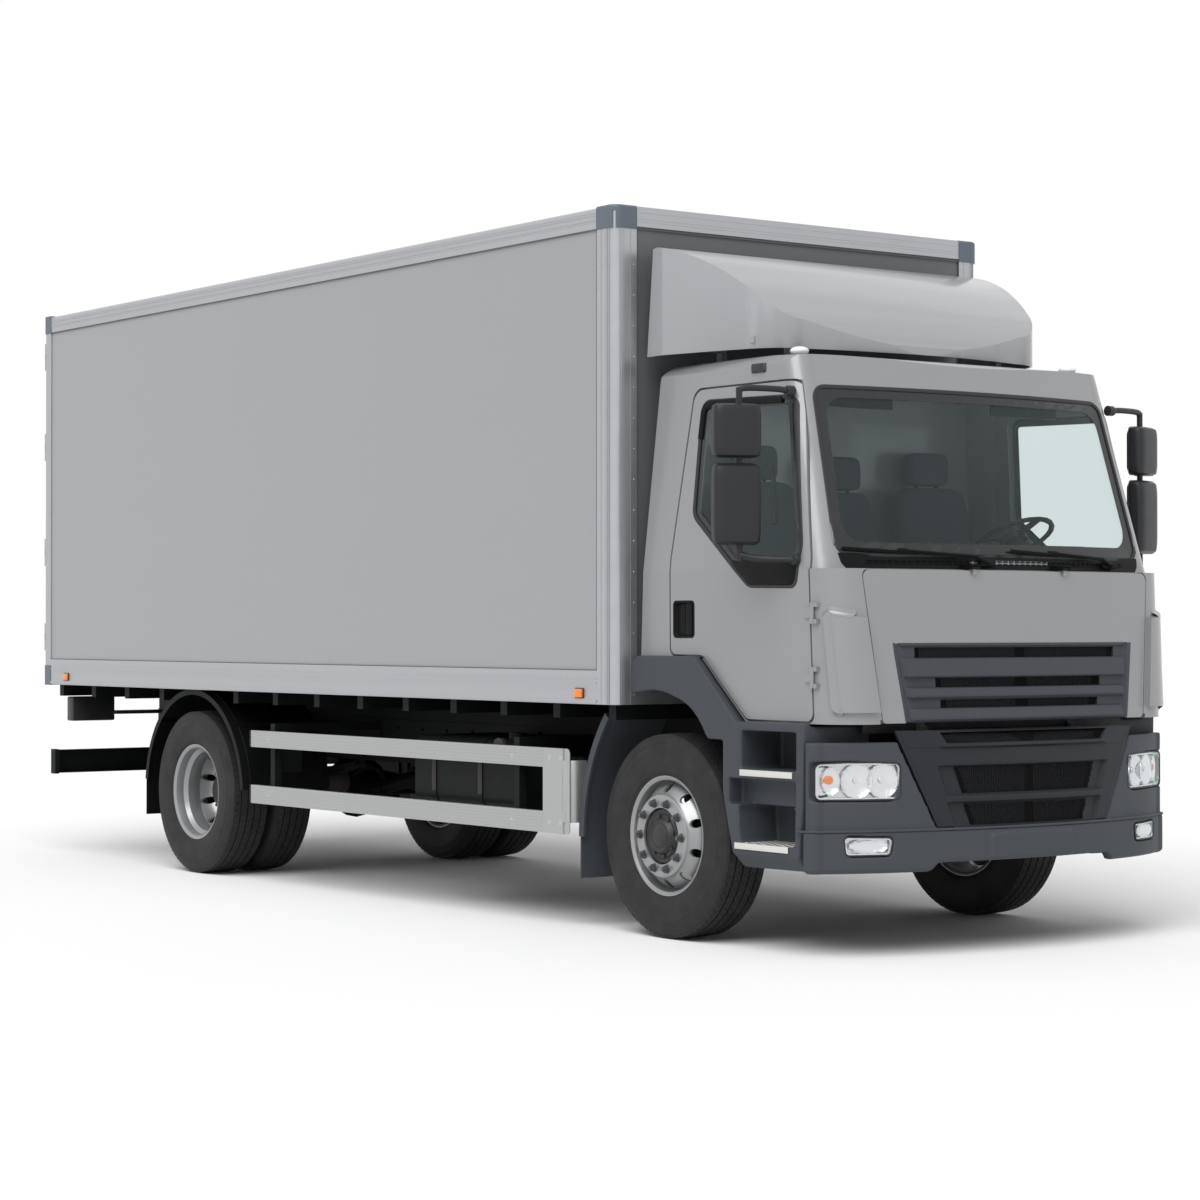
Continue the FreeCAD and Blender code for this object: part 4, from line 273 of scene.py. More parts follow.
# ---- tyres ----
# Six equal 22.5-inch tyres: smooth sidewalls with raised rings and five ribs, cut across by
# fine sipes that lean to alternate sides. No lettering.
TYRE_R, AXLE_Z = 0.511, 0.511
FRONT_X, REAR_X = 2.730, -2.070
SIDES = (("left", 1), ("right", -1))
FRONT_Y, TWIN_Y, TWIN_HALF = 1.000, 0.9075, 0.155
SIDEWALL = ((0.1065, 0.287), (0.1120, 0.2975), (0.1165, 0.3030), (0.1200, 0.3120),
            (0.1215, 0.3150), (0.1245, 0.3170), (0.1295, 0.3350), (0.1345, 0.3620),
            (0.1370, 0.3900), (0.1374, 0.4080), (0.1368, 0.4200), (0.1372, 0.4215),
            (0.1370, 0.4260), (0.1358, 0.4275), (0.1335, 0.4420), (0.1300, 0.4560),
            (0.1300, 0.4590), (0.1312, 0.4600), (0.1300, 0.4640), (0.1280, 0.4700),
            (0.1240, 0.4840), (0.1190, 0.4930))
RIBS = ((-0.1160, -0.0740), (-0.0660, -0.0270), (-0.0195, 0.0195), (0.0270, 0.0660),
        (0.0740, 0.1160))
GROOVE_R, SIPES, SIPE_SHARE = 0.4965, 76, 0.90


def join_rings(bm, rings, closed=True, ends=False):
    """Faces from each ring of points to the next; ends fills the first and the last ring."""
    for one, two in zip(rings, rings[1:]):
        for k in range(len(one) - (not closed)):
            n = (k + 1) % len(one)
            bm.faces.new((one[k], one[n], two[n], two[k]))
    if ends:
        bm.faces.new(rings[0][::-1])
        bm.faces.new(rings[-1])


def lathe(bm, profile, x, y, z, way=1, turns=128, close=False):
    """Turns (offset, radius) points once round the axle line through x, z."""
    points = [bm.verts.new((x + radius, y + way * offset, z)) for offset, radius in profile]
    ends = points[1:] + points[:1] if close else points[1:]
    lines = [bm.edges.new(pair) for pair in zip(points, ends)]
    bmesh.ops.spin(bm, geom=points + lines, cent=(x, y, z), axis=(0, 1, 0), dvec=(0, 0, 0),
                   angle=2 * pi, steps=turns, use_merge=True)


def piece(name, bm, mat, body, smooth=35):
    """Finishes a mesh as a piece that rides on a body, smooth up to a given edge angle."""
    bmesh.ops.recalc_face_normals(bm, faces=bm.faces)
    mesh = bpy.data.meshes.new(name)
    bm.to_mesh(mesh)
    bm.free()
    mesh.shade_smooth()
    mesh.set_sharp_from_angle(angle=radians(smooth))
    mesh.materials.append(mat)
    obj = place_object(name, mesh)
    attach(obj, body)
    return obj


def tyre(bm, x, y):
    """One casing with its tread ribs, each cut into blocks by zigzag sipes."""
    outline = [*SIDEWALL, (0.1130, GROOVE_R)]
    lathe(bm, outline + [(-o, r) for o, r in reversed(outline)], x, y, AXLE_Z)
    foot = GROOVE_R - 0.004
    for rib, (inner, outer) in enumerate(RIBS):
        lean = 0.35 / SIPES * (1 if rib % 2 else -1)
        for k in range(SIPES):
            rings = []
            for offset, shift in ((inner, -lean), ((inner + outer) / 2, lean), (outer, -lean)):
                top = TYRE_R - 0.0015 - 0.0055 * (offset / 0.116) ** 2
                a, b = [2 * pi * ((k + share + 0.12 * (rib % 3)) / SIPES + shift)
                        for share in (0, SIPE_SHARE)]
                rings.append([bm.verts.new((x + r * cos(t), y + offset, AXLE_Z + r * sin(t)))
                              for r, t in ((foot, a), (top, a), (top, b), (foot, b))])
            join_rings(bm, rings, closed=False, ends=True)


def tyre_rubber():
    """Black rubber that goes grey with dust in slow patches, with a fine grain."""
    mat, tree = new_material("worn tyre rubber")
    place = add(tree, "TexCoord").outputs["Object"]
    slow = add(tree, "TexNoise", [("Vector", place)], Scale=9.0, Detail=6.0, Roughness=0.6)
    ramp = add(tree, "ValToRGB", [("Fac", slow)])
    for stop, at, colour in zip(ramp.color_ramp.elements, (0.3, 0.75), ("#252527", "#333334")):
        stop.position, stop.color = at, srgb(colour)
    fine = add(tree, "TexNoise", [("Vector", place)], Scale=600.0, Detail=2.0)
    bump = add(tree, "Bump", [("Height", fine)], Strength=0.35, Distance=0.3 * MM)
    finish_tree(tree, add(tree, "BsdfPrincipled", [("Base Color", ramp), ("Normal", bump)],
                          Roughness=0.62, Specular_IOR_Level=0.2))
    return mat


rubber = tyre_rubber()
for side, way in SIDES:
    bm = bmesh.new()
    tyre(bm, FRONT_X, way * FRONT_Y)
    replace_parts(piece("tyre_front_" + side, bm, rubber, "front_%s_wheel" % side,
                      smooth=28), "front_tyre_" + side)
    bm = bmesh.new()
    for k in (1, -1):
        tyre(bm, REAR_X, way * (TWIN_Y + k * TWIN_HALF))
    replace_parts(piece("tyres_rear_" + side, bm, rubber, "rear_%s_wheels" % side,
                      smooth=28), "rear_tyres_" + side)


# ---- wheels ----
# Silver-painted pressed wheels: rolled rims with a bright lip, domed discs with ten vents, ten
# nuts on 335 mm, and black cast hubs. The front discs dome outward, the twins lie back to back.
LIP = ((0.1175, 0.2985), (0.1180, 0.2950), (0.1165, 0.2915), (0.1130, 0.2880), (0.1080, 0.2790),
       (0.0900, 0.2745), (0.0600, 0.2720), (0.0380, 0.2500), (0.0, 0.2470), (-0.0380, 0.2500),
       (-0.0700, 0.2700), (-0.1080, 0.2770), (-0.1130, 0.2860), (-0.1170, 0.2920),
       (-0.1175, 0.2985), (-0.1110, 0.2990), (-0.1060, 0.2930), (-0.1040, 0.2855),
       (0.1040, 0.2855), (0.1060, 0.2930), (0.1110, 0.2990))
FRONT_DISC = ((0.1500, 0.1405), (0.1500, 0.1960), (0.1490, 0.2010), (0.1455, 0.2050),
              (0.1380, 0.2075), (0.1270, 0.2150), (0.1130, 0.2290), (0.0960, 0.2440),
              (0.0800, 0.2540), (0.0660, 0.2590), (0.0560, 0.2620), (0.0540, 0.2560),
              (0.0760, 0.2450), (0.1020, 0.2260), (0.1180, 0.2100), (0.1300, 0.2000),
              (0.1380, 0.1900), (0.1380, 0.1405))
REAR_DISC = ((0.0, 0.1405), (0.0, 0.2000), (0.0020, 0.2100), (0.0080, 0.2200), (0.0200, 0.2310),
             (0.0420, 0.2420), (0.0800, 0.2530), (0.1080, 0.2590), (0.1060, 0.2530),
             (0.0820, 0.2450), (0.0500, 0.2330), (0.0280, 0.2200), (0.0140, 0.2050),
             (0.0110, 0.1405))
FRONT_HUB = ((0.020, 0.138), (0.132, 0.138), (0.139, 0.132), (0.136, 0.112), (0.141, 0.108),
             (0.141, 0.094), (0.146, 0.088), (0.160, 0.082), (0.164, 0.076), (0.160, 0.071),
             (0.158, 0.060), (0.164, 0.052), (0.1665, 0.030), (0.167, 0.0005))
REAR_HUB = ((-0.150, 0.205), (-0.030, 0.205), (-0.012, 0.138), (0.040, 0.136), (0.060, 0.128),
            (0.066, 0.104), (0.100, 0.098), (0.110, 0.084), (0.116, 0.060), (0.117, 0.0005))
VENT_R, VENTS, NUT_R, NUTS = 0.0225, 10, 0.1675, 10


def knock_out(obj, cutters):
    """Cuts closed cutter meshes out of a piece and applies the result."""
    tool_mesh = bpy.data.meshes.new("cutter")
    cutters.to_mesh(tool_mesh)
    cutters.free()
    tool = place_object("cutter", tool_mesh)
    cut = obj.modifiers.new("cut", "BOOLEAN")
    cut.operation, cut.object, cut.solver = "DIFFERENCE", tool, "EXACT"
    bpy.context.view_layer.update()
    view = bpy.context.evaluated_depsgraph_get()
    obj.data = bpy.data.meshes.new_from_object(obj.evaluated_get(view))
    obj.modifiers.clear()
    bpy.data.objects.remove(tool)
    obj.data.shade_smooth()
    obj.data.set_sharp_from_angle(angle=radians(30))


def rod(bm, start, end, r0, r1=None, sides=24):
    """Cylinder or cone between two points."""
    start, end = Vector(start), Vector(end)
    along = end - start
    turn = along.to_track_quat("Z", "Y").to_matrix().to_4x4()
    place = Matrix.Translation((start + end) / 2) @ turn
    return bmesh.ops.create_cone(bm, cap_ends=True, segments=sides, radius1=r0,
                                 radius2=r0 if r1 is None else r1, depth=along.length,
                                 matrix=place)["verts"]


def around(x, y, radius, count, turn=0.0):
    """Places at equal angles about the axle line."""
    for i in range(count):
        a = turn + 2 * pi * i / count
        yield x + radius * cos(a), y, AXLE_Z + radius * sin(a)


def nuts(bm, x, y, way, stud):
    """Hexagon nuts on their pressed washers, with the stud's end standing out."""
    for px, py, pz in around(x, y, NUT_R, NUTS):
        for a, b, r0, r1, sides in ((0, 0.004, 0.0235, 0.0215, 20),
                                    (0.004, 0.024, 0.0185, 0.0175, 6),
                                    (0.024, 0.024 + stud, 0.0105, 0.0095, 12)):
            rod(bm, (px, py + way * a, pz), (px, py + way * b, pz), r0, r1, sides)


def wheel(end, side, way, x, y, rims, discs, pitch_r, nuts_y, stud, hub, bolts):
    """Rims, discs, nuts and hub of one wheel or pair. Rims and discs are listed by name's end,
    profile and offset; bolts are count, radius, Y, first angle, length and half width."""
    body = {"front": "front_%s_wheel", "rear": "rear_%s_wheels"}[end] % side
    bm = bmesh.new()
    for profile, dy in rims:
        lathe(bm, profile, x, y + way * dy, AXLE_Z, way, close=True)
    name = "rim_front_" if end == "front" else "rims_rear_"
    old = "front_rim_" if end == "front" else "rear_rims_"
    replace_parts(piece(name + side, bm, wheel_paint, body), old + side)
    for name, profile in discs:
        bm, holes = bmesh.new(), bmesh.new()
        lathe(bm, profile, x, y, AXLE_Z, way, close=True)
        for px, py, pz in around(x, y, pitch_r, VENTS, pi / VENTS):
            rod(holes, (px, py - 0.2, pz), (px, py + 0.2, pz), VENT_R, sides=28)
        knock_out(piece(name + side, bm, wheel_paint, body), holes)
    bm = bmesh.new()
    nuts(bm, x, y + way * nuts_y, way, stud)
    piece("nuts_%s_%s" % (end, side), bm, nut_steel, body)
    bm = bmesh.new()
    lathe(bm, hub, x, y, AXLE_Z, way, turns=64)
    count, radius, dy, first, long, half = bolts
    for px, py, pz in around(x, y + way * dy, radius, count, first):
        rod(bm, (px, py, pz), (px, py + way * long, pz), half, sides=6)
    piece("hub_%s_%s" % (end, side), bm, hub_iron, body)


# Sprayed silver: bright along the lips, soft and even in the dish.
wheel_paint = finish("silver wheel paint", "#959697", 0.34, metallic=0.55, vary=0.04, patch=60,
                     grain=0.25, grain_mm=1.5, coat=0.2)
# Plated steel, darker than the wheel, uneven from nut to nut.
nut_steel = finish("dark zinc-plated steel", "#626365", 0.42, metallic=0.7, vary=0.15, patch=12,
                   grain=0.3)
# A rough casting under thin black paint: small broken highlights.
hub_iron = finish("black painted cast iron", "#212223", 0.5, vary=0.15, patch=40, grain=0.7,
                  grain_mm=2.5)
for side, way in SIDES:
    wheel("front", side, way, FRONT_X, way * FRONT_Y, [(LIP, 0)], [("disc_front_", FRONT_DISC)],
          0.2360, 0.1500, 0.010, FRONT_HUB, (8, 0.101, 0.141, 0.2, 0.009, 0.008))
    wheel("rear", side, way, REAR_X, way * TWIN_Y,
          [([(k * o, r) for o, r in LIP], k * TWIN_HALF) for k in (1, -1)],
          [("disc_rear_outer_", REAR_DISC),
           ("disc_rear_inner_", [(-o, r) for o, r in REAR_DISC])],
          0.2330, 0.011, 0.022, REAR_HUB, (10, 0.116, 0.062, 0.1, 0.014, 0.0085))


# ---- load body trim ----
# Ribs, sealing lines and rivets on the load body's aluminium rails and corner posts: the ribs
# are part of the extrusions, the sealant is gunned in, and the rivets hold the panels.
BOX_REAR_X, BOX_FRONT_X, BOX_HALF, BOX_LOW = -4.120, 2.470, 1.250, 1.156
RAIL_TOP, HEAD_LOW = 1.328, 3.560
FRONT_POST, REAR_POST, BEAD = 0.145, 0.090, 0.003
RIVET_R, RIVET_PITCH, POST_PITCH = 0.0042, 0.118, 0.16
POST_RIBS = (0.040, 0.052, 0.064, 0.106)
HEAD_RIBS = ((3.5940, 0.004), (3.6080, 0.003), (3.6400, 0.004))
SIDE_RIBS = ((1.2300, 0.004), (1.2440, 0.004), (1.2580, 0.004), (1.2850, 0.003), *HEAD_RIBS)


def block(bm, x0, x1, y0, y1, z0, z1, bevel=0.0):
    """Box between limits, its edges rounded by bevel."""
    made = bmesh.ops.create_cube(bm, size=1.0)["verts"]
    size = Vector((abs(x1 - x0), abs(y1 - y0), abs(z1 - z0)))
    centre = Vector(((x0 + x1) / 2, (y0 + y1) / 2, (z0 + z1) / 2))
    for v in made:
        v.co = Vector(a * b for a, b in zip(v.co, size)) + centre
    if bevel:
        edges = list({e for v in made for e in v.link_edges})
        bmesh.ops.bevel(bm, geom=edges, offset=bevel, segments=2, profile=0.5,
                         affect="EDGES", material=-1)


def rivet(bm, at, out, r=RIVET_R):
    """Domed rivet head standing out along out."""
    at, out = Vector(at), Vector(out).normalized()
    rod(bm, at - out * 0.0004, at + out * 0.0006, r * 1.25, sides=10)
    rod(bm, at + out * 0.0006, at + out * 0.0022, r, r * 0.45, sides=10)


def row(start, end, pitch):
    count = max(1, round(abs(end - start) / pitch))
    return [start + (end - start) * i / count for i in range(count + 1)]


def strip(bm, way, a0, a1, z0, z1, deep, proud):
    """Flat strip on a wall of the body: way 1 is left, -1 right, with a as X; 0 is the front,
    with a as Y."""
    if way:
        block(bm, a0, a1, way * (BOX_HALF - deep), way * (BOX_HALF + proud), z0, z1)
    else:
        block(bm, BOX_FRONT_X - deep, BOX_FRONT_X + proud, a0, a1, z0, z1)


# Small bright heads, each of a slightly different grey.
rivet_steel = finish("plain aluminium rivet", "#B7B9BB", 0.38, metallic=0.7, vary=0.1, patch=30)
bm = bmesh.new()
for way in (1, -1):
    out, y = (0, way, 0), way * BOX_HALF
    for x in row(BOX_REAR_X + 0.14, BOX_FRONT_X - 0.19, RIVET_PITCH):
        rivet(bm, (x, y, RAIL_TOP - 0.020), out)
        rivet(bm, (x, y, HEAD_LOW + 0.018), out)
    for z in row(BOX_LOW + 0.05, HEAD_LOW - 0.03, POST_PITCH):
        rivet(bm, (BOX_FRONT_X - 0.128, y, z), out)
        rivet(bm, (BOX_REAR_X + 0.075, y, z), out)
        rivet(bm, (BOX_FRONT_X, way * (BOX_HALF - 0.128), z), (1, 0, 0))
for y in row(-BOX_HALF + 0.19, BOX_HALF - 0.19, RIVET_PITCH):
    rivet(bm, (BOX_FRONT_X, y, HEAD_LOW + 0.018), (1, 0, 0))
piece("body_rivets", bm, rivet_steel, "chassis")

RIB, SEALED = (0.004, 0.0015), (0.006, 0.0008)
bm = bmesh.new()
for way in (1, -1):
    for z, tall in SIDE_RIBS:
        strip(bm, way, BOX_REAR_X + REAR_POST + 0.002, BOX_FRONT_X - FRONT_POST - 0.002, z,
              z + tall, *RIB)
    for inset in POST_RIBS:
        a, b = BOX_FRONT_X - inset, way * (BOX_HALF - inset)
        strip(bm, way, a - 0.003, a, BOX_LOW + 0.002, HEAD_LOW, *RIB)
        strip(bm, 0, b - way * 0.003, b, BOX_LOW + 0.002, HEAD_LOW, *RIB)
for z, tall in HEAD_RIBS:
    y = BOX_HALF - FRONT_POST - 0.002
    strip(bm, 0, -y, y, z, z + tall, *RIB)
piece("rail_ribs", bm, aluminium, "chassis")

# Dull rubbery beads that draw a thin dark line beside the rails.
sealant = finish("dark sealing bead", "#515356", 0.6, vary=0.1, patch=30)
post_x, post_y = BOX_FRONT_X - FRONT_POST, BOX_HALF - FRONT_POST
bm = bmesh.new()
for way in (1, -1):
    for z0, z1 in ((HEAD_LOW - 0.005, HEAD_LOW + 0.001), (RAIL_TOP - 0.001, RAIL_TOP + 0.003)):
        strip(bm, way, BOX_REAR_X + REAR_POST, post_x, z0, z1, *SEALED)
    strip(bm, way, post_x - BEAD, post_x, RAIL_TOP, HEAD_LOW, *SEALED)
    strip(bm, 0, way * (post_y - BEAD), way * post_y, BOX_LOW + 0.05, HEAD_LOW, *SEALED)
strip(bm, 0, -post_y, post_y, HEAD_LOW - 0.005, HEAD_LOW + 0.001, *SEALED)
piece("sealing_beads", bm, sealant, "chassis")


# ---- glazing trim ----
# Black ceramic borders printed on the glass and rubber seals pressed in round the windscreen
# and the door windows, following the cab's curved skin.

# Each section of that skin is a height, the half width, the corner's rear and front X, the
# corner's inner Y and the nose's X.
SECTIONS = {"low": (1.050, 1.116, 3.830, 4.060, 0.850, 4.118),
            "waist": (1.820, 1.120, 3.815, 4.002, 0.935, 4.072),
            "sill": (1.820, 1.120, 3.775, 3.908, 0.975, 4.020),
            "top": (3.000, 1.025, 3.470, 3.575, 0.915, 3.665)}
SCREEN = ((-1.006, 1.885), (1.006, 1.885), (0.955, 2.692), (-0.955, 2.692))
CLEAR = ((-0.945, 1.946), (0.945, 1.946), (0.900, 2.640), (-0.900, 2.640))
WINDOW = ((2.928, 2.095), (3.385, 1.744), (3.730, 1.738), (3.765, 1.930), (3.635, 2.640),
          (2.945, 2.655))


def section_point(row, u):
    """X, Y on a section's half outline: 0 at the nose, 1 and 2 at the corner's ends."""
    z, w, xc, xe, ye, xn = row
    if u <= 1:
        s = xn - xe
        r = (ye * ye + s * s) / (2 * s)
        a = u * atan2(ye, r - s)
        return xn - r + r * cos(a), r * sin(a)
    if u <= 2:
        r = ((xe - xc) ** 2 + (w - ye) ** 2) / (2 * (w - ye))
        a = atan2(ye - w + r, xe - xc)
        a += (pi / 2 - a) * (u - 1)
        return xc + r * cos(a), w - r + r * sin(a)
    return xc - (u - 2), w


def skin_point(u, z):
    one, two = [SECTIONS[n] for n in (("sill", "top") if z > 1.8201 else ("low", "waist"))]
    f = (z - one[0]) / (two[0] - one[0])
    (x0, y0), (x1, y1) = section_point(one, u), section_point(two, u)
    return Vector((x0 + (x1 - x0) * f, y0 + (y1 - y0) * f, z))


def skin(want, z, axis, out=0.0, way=1):
    """Point on the cab's skin whose X (axis 0) or |Y| (axis 1) is given, moved outwards."""
    lo, hi = 0.0, (4.0, 2.0)[axis]
    for _ in range(40):
        mid = (lo + hi) / 2
        if (skin_point(mid, z)[axis] < want) == (axis == 1):
            lo = mid
        else:
            hi = mid
    p = skin_point(lo, z)
    along = skin_point(lo + 0.002, z) - skin_point(max(0, lo - 0.002), z)
    rise = skin_point(lo, z + 0.002) - skin_point(lo, z - 0.002)
    normal = rise.cross(along).normalized()
    if normal.dot(Vector((1, 0.2, 0))) < 0 and p.y < 1.0 or normal.y < -0.2:
        normal.negate()
    p = p + normal * out
    return Vector((p.x, way * p.y, p.z))


def on_front(y, z, out=0.0):
    return skin(abs(y), z, 1, out, 1 if y >= 0 else -1)


def on_side(way):
    return lambda x, z, out=0.0: skin(x, z, 0, out, way)


def round_loop(corners, radii, parts=14):
    """Closed 2-D outline with arcs at its corners and each straight side in equal parts."""
    radii = radii if isinstance(radii, (list, tuple)) else [radii] * len(corners)
    n, marks = len(corners), []
    for i, (x, y) in enumerate(corners):
        p, q, c = Vector(corners[i - 1]), Vector(corners[(i + 1) % n]), Vector((x, y))
        u, v = (p - c).normalized(), (q - c).normalized()
        half = u.angle(v) / 2
        back = min(max(radii[i], 1e-4) / tan(half), 0.45 * (p - c).length, 0.45 * (q - c).length)
        r = back * tan(half)
        centre = c + (u + v).normalized() * (r / sin(half))
        a, b = (c + u * back - centre), (c + v * back - centre)
        turn = atan2(a.x * b.y - a.y * b.x, a.dot(b))
        for k in range(9):
            t = turn * k / 8
            marks.append(centre + Vector((a.x * cos(t) - a.y * sin(t),
                                          a.x * sin(t) + a.y * cos(t))))
    out = []
    for i, (p, q) in enumerate(zip(marks, marks[1:] + marks[:1])):
        pieces = parts if i % 9 == 8 else 1
        out += [p.lerp(q, k / pieces) for k in range(pieces)]
    return out


def shrink(loop, by):
    """The closed outline moved inwards by a distance."""
    n, out = len(loop), []
    area = sum(loop[i - 1].x * loop[i].y - loop[i].x * loop[i - 1].y for i in range(n))
    for i in range(n):
        t = (loop[(i + 1) % n] - loop[i - 1]).normalized()
        out.append(loop[i] + Vector((-t.y, t.x)) * (by if area > 0 else -by))
    return out


def band(bm, outer, inner, place, out=0.0, thick=0.001):
    """Flat band between two outlines laid on a skin."""
    rings = [[bm.verts.new(place(*p, out - fall)) for p in loop]
             for loop, fall in ((outer, 0), (inner, 0), (inner, thick), (outer, thick))]
    join_rings(bm, rings + rings[:1])


def seal(bm, loop, place, width, high, low=-0.004, closed=True):
    """Rounded rubber strip along an outline; width is centred on it, high stands proud."""
    section = ((-0.5, low), (-0.5, high * 0.45), (-0.3, high * 0.9), (0.0, high),
               (0.3, high * 0.9), (0.5, high * 0.45), (0.5, low))
    last, rings = len(loop) - 1, []
    for i, p in enumerate(loop):
        back, on = (i - 1, (i + 1) % (last + 1)) if closed else (max(0, i - 1), min(last, i + 1))
        t = (loop[on] - loop[back]).normalized()
        s = Vector((-t.y, t.x)) * width
        rings.append([bm.verts.new(place(*(p + s * k), h)) for k, h in section])
    join_rings(bm, rings + rings[:closed], ends=not closed)


def patch(bm, loop, place, out, thick, rings=7, dome=0.0):
    """Filled plate laid on a skin; dome raises its middle."""
    centre = sum(loop, Vector((0, 0))) / len(loop)
    levels = [(1, out - thick)]
    for k in range(rings):
        f = 1 - (k / rings) ** 1.3
        levels.append((f, out + dome * (1 - f * f) ** 0.5))
    grid = [[bm.verts.new(place(*(centre + (p - centre) * f), h)) for p in loop]
            for f, h in levels]
    join_rings(bm, grid)
    bm.faces.new(grid[-1])


def even(points, parts, closed=False):
    """An outline with equal steps on each of its straight stretches."""
    points = [Vector(p) for p in points]
    ends = points[1:] + points[:1] if closed else points[1:]
    fine = [p.lerp(q, k / parts) for p, q in zip(points, ends) for k in range(parts)]
    return fine if closed else fine + points[-1:]


def rectangle(x0, x1, z0, z1, radius, parts=14):
    return round_loop([(x0, z0), (x1, z0), (x1, z1), (x0, z1)], radius, parts)


# Black enamel baked on the glass, so that it shines like the glass over it.
ceramic = finish("black ceramic glass border", "#1D1F21", 0.16, vary=0.03, patch=200)
# Extruded rubber: near black, with a fine dry grain.
seal_rubber = finish("black window rubber", "#1A1B1D", 0.55, vary=0.08, patch=50, grain=0.4,
                     grain_mm=1.0)
screen = round_loop(SCREEN, 0.070)
bm = bmesh.new()
band(bm, shrink(screen, 0.004), round_loop(CLEAR, 0.100), on_front, -0.0034, 0.0005)
piece("screen_border", bm, ceramic, "cab")
bm = bmesh.new()
seal(bm, shrink(screen, 0.001), on_front, 0.018, 0.0035)
piece("screen_seal", bm, seal_rubber, "cab")

window = round_loop(WINDOW, [0.08, 0.09, 0.04, 0.20, 0.06, 0.06])
for side, way in SIDES:
    place, body = on_side(way), side + "_door"
    bm = bmesh.new()
    band(bm, shrink(window, 0.004), shrink(window, 0.040), place, -0.0034, 0.0005)
    piece("window_border_" + side, bm, ceramic, body)
    bm = bmesh.new()
    seal(bm, shrink(window, 0.001), place, 0.022, 0.004)
    piece("window_seal_" + side, bm, seal_rubber, body)


# ---- grille and bumper ----
# Moulded faces of the grille and of the bumper's insert, clipped in, with black honeycomb mesh
# in their slots and openings over black sheets of painted shade, the cooler behind, a black
# sheet of painted shade in the gap under the grille, and the outline of the blank plate.
SLOTS = ((1.402, 1.452, 0.660), (1.264, 1.308, 0.545), (1.167, 1.203, 0.520))
OPENINGS = ((1.002, 1.050, 0.552, 0.512), (0.764, 0.886, 0.462, 0.417),
            (0.614, 0.710, 0.407, 0.372))
# Each arc of the bumper's plan form: its start, a point of its circle, and its end.
BUMPER_ARCS = (((4.150, 0.0), (4.058, -0.752), (4.058, 0.752)),
               ((4.058, 0.752), (3.998, 0.945), (3.916, 1.112)),
               ((3.916, 1.112), (3.898, 1.158), (3.870, 1.173)))


def circle(p, q, r):
    """Centre and radius of the circle through three points."""
    (ax, ay), (bx, by), (cx, cy) = p, q, r
    a, b, c = ax * ax + ay * ay, bx * bx + by * by, cx * cx + cy * cy
    d = 2 * (ax * (by - cy) + bx * (cy - ay) + cx * (ay - by))
    ux = (a * (by - cy) + b * (cy - ay) + c * (ay - by)) / d
    uy = (a * (cx - bx) + b * (ax - cx) + c * (bx - ax)) / d
    return ux, uy, hypot(ax - ux, ay - uy)


def bumper_path():
    """Points and outward normals of the bumper's plan form by distance from its middle."""
    path, s, steps = [], 0.0, 24
    for p, q, r in BUMPER_ARCS:
        cx, cy, radius = circle(p, q, r)
        a0, a1 = atan2(p[1] - cy, p[0] - cx), atan2(r[1] - cy, r[0] - cx)
        for a in (a0 + (a1 - a0) * i / steps for i in range(steps + 1)):
            path.append((s + abs(a - a0) * radius, cx + radius * cos(a), cy + radius * sin(a),
                         cos(a), sin(a)))
        s += abs(a1 - a0) * radius
    return path + [(s + 0.05, 3.820, 1.173, 0.0, 1.0)]


BUMPER_PATH = bumper_path()


def on_bumper(s, z, out=0.0):
    """Point of the bumper's skin at distance s along it from the middle (left is positive)."""
    way, d = (1 if s >= 0 else -1), abs(s)
    i = next((k for k in range(1, len(BUMPER_PATH)) if BUMPER_PATH[k][0] >= d),
             len(BUMPER_PATH) - 1)
    a, b = BUMPER_PATH[i - 1], BUMPER_PATH[i]
    f = (d - a[0]) / max(1e-9, b[0] - a[0])
    x, y, nx, ny = [p + (q - p) * f for p, q in zip(a[1:], b[1:])]
    n = hypot(nx, ny)
    return Vector((x + nx / n * out, way * (y + ny / n * out), z))


def honeycomb(bm, z0, z1, top, low, place, out, cell=0.0125, wire=0.0016):
    """Hexagonal mesh that fills a trapezoid, built from its ribs."""
    rise, reach, ribs = cell * sqrt(3) / 2, 0.004, {}

    def half(z):
        return low + (top - low) * (z - z0) / (z1 - z0)

    for row_no in range(int((z1 - z0) / rise) + 3):
        z = z0 + row_no * rise
        count = int(half(min(z, z1)) / (cell * 1.5)) + 1
        for i in range(-count, count + 1):
            cy, cz = i * cell * 1.5, z + (rise / 2 if i % 2 else 0)
            for k in range(6):
                a, b = [Vector((cy + cell / 2 * cos(t * pi / 3), cz + cell / 2 * sin(t * pi / 3)))
                        for t in (k, k + 1)]
                if all(z0 - reach < p.y < z1 + reach and abs(p.x) < half(p.y) + reach
                       for p in (a, b)):
                    ribs.setdefault(tuple(round(v * 2000) for v in a + b), (a, b))
    for a, b in ribs.values():
        n = Vector((a.y - b.y, b.x - a.x)).normalized() * wire / 2
        join_rings(bm, [[bm.verts.new(place(*(p + n * k), out + h))
                         for k, h in ((-1, 0), (1, 0), (1, -0.004), (-1, -0.004))]
                        for p in (a, b)])


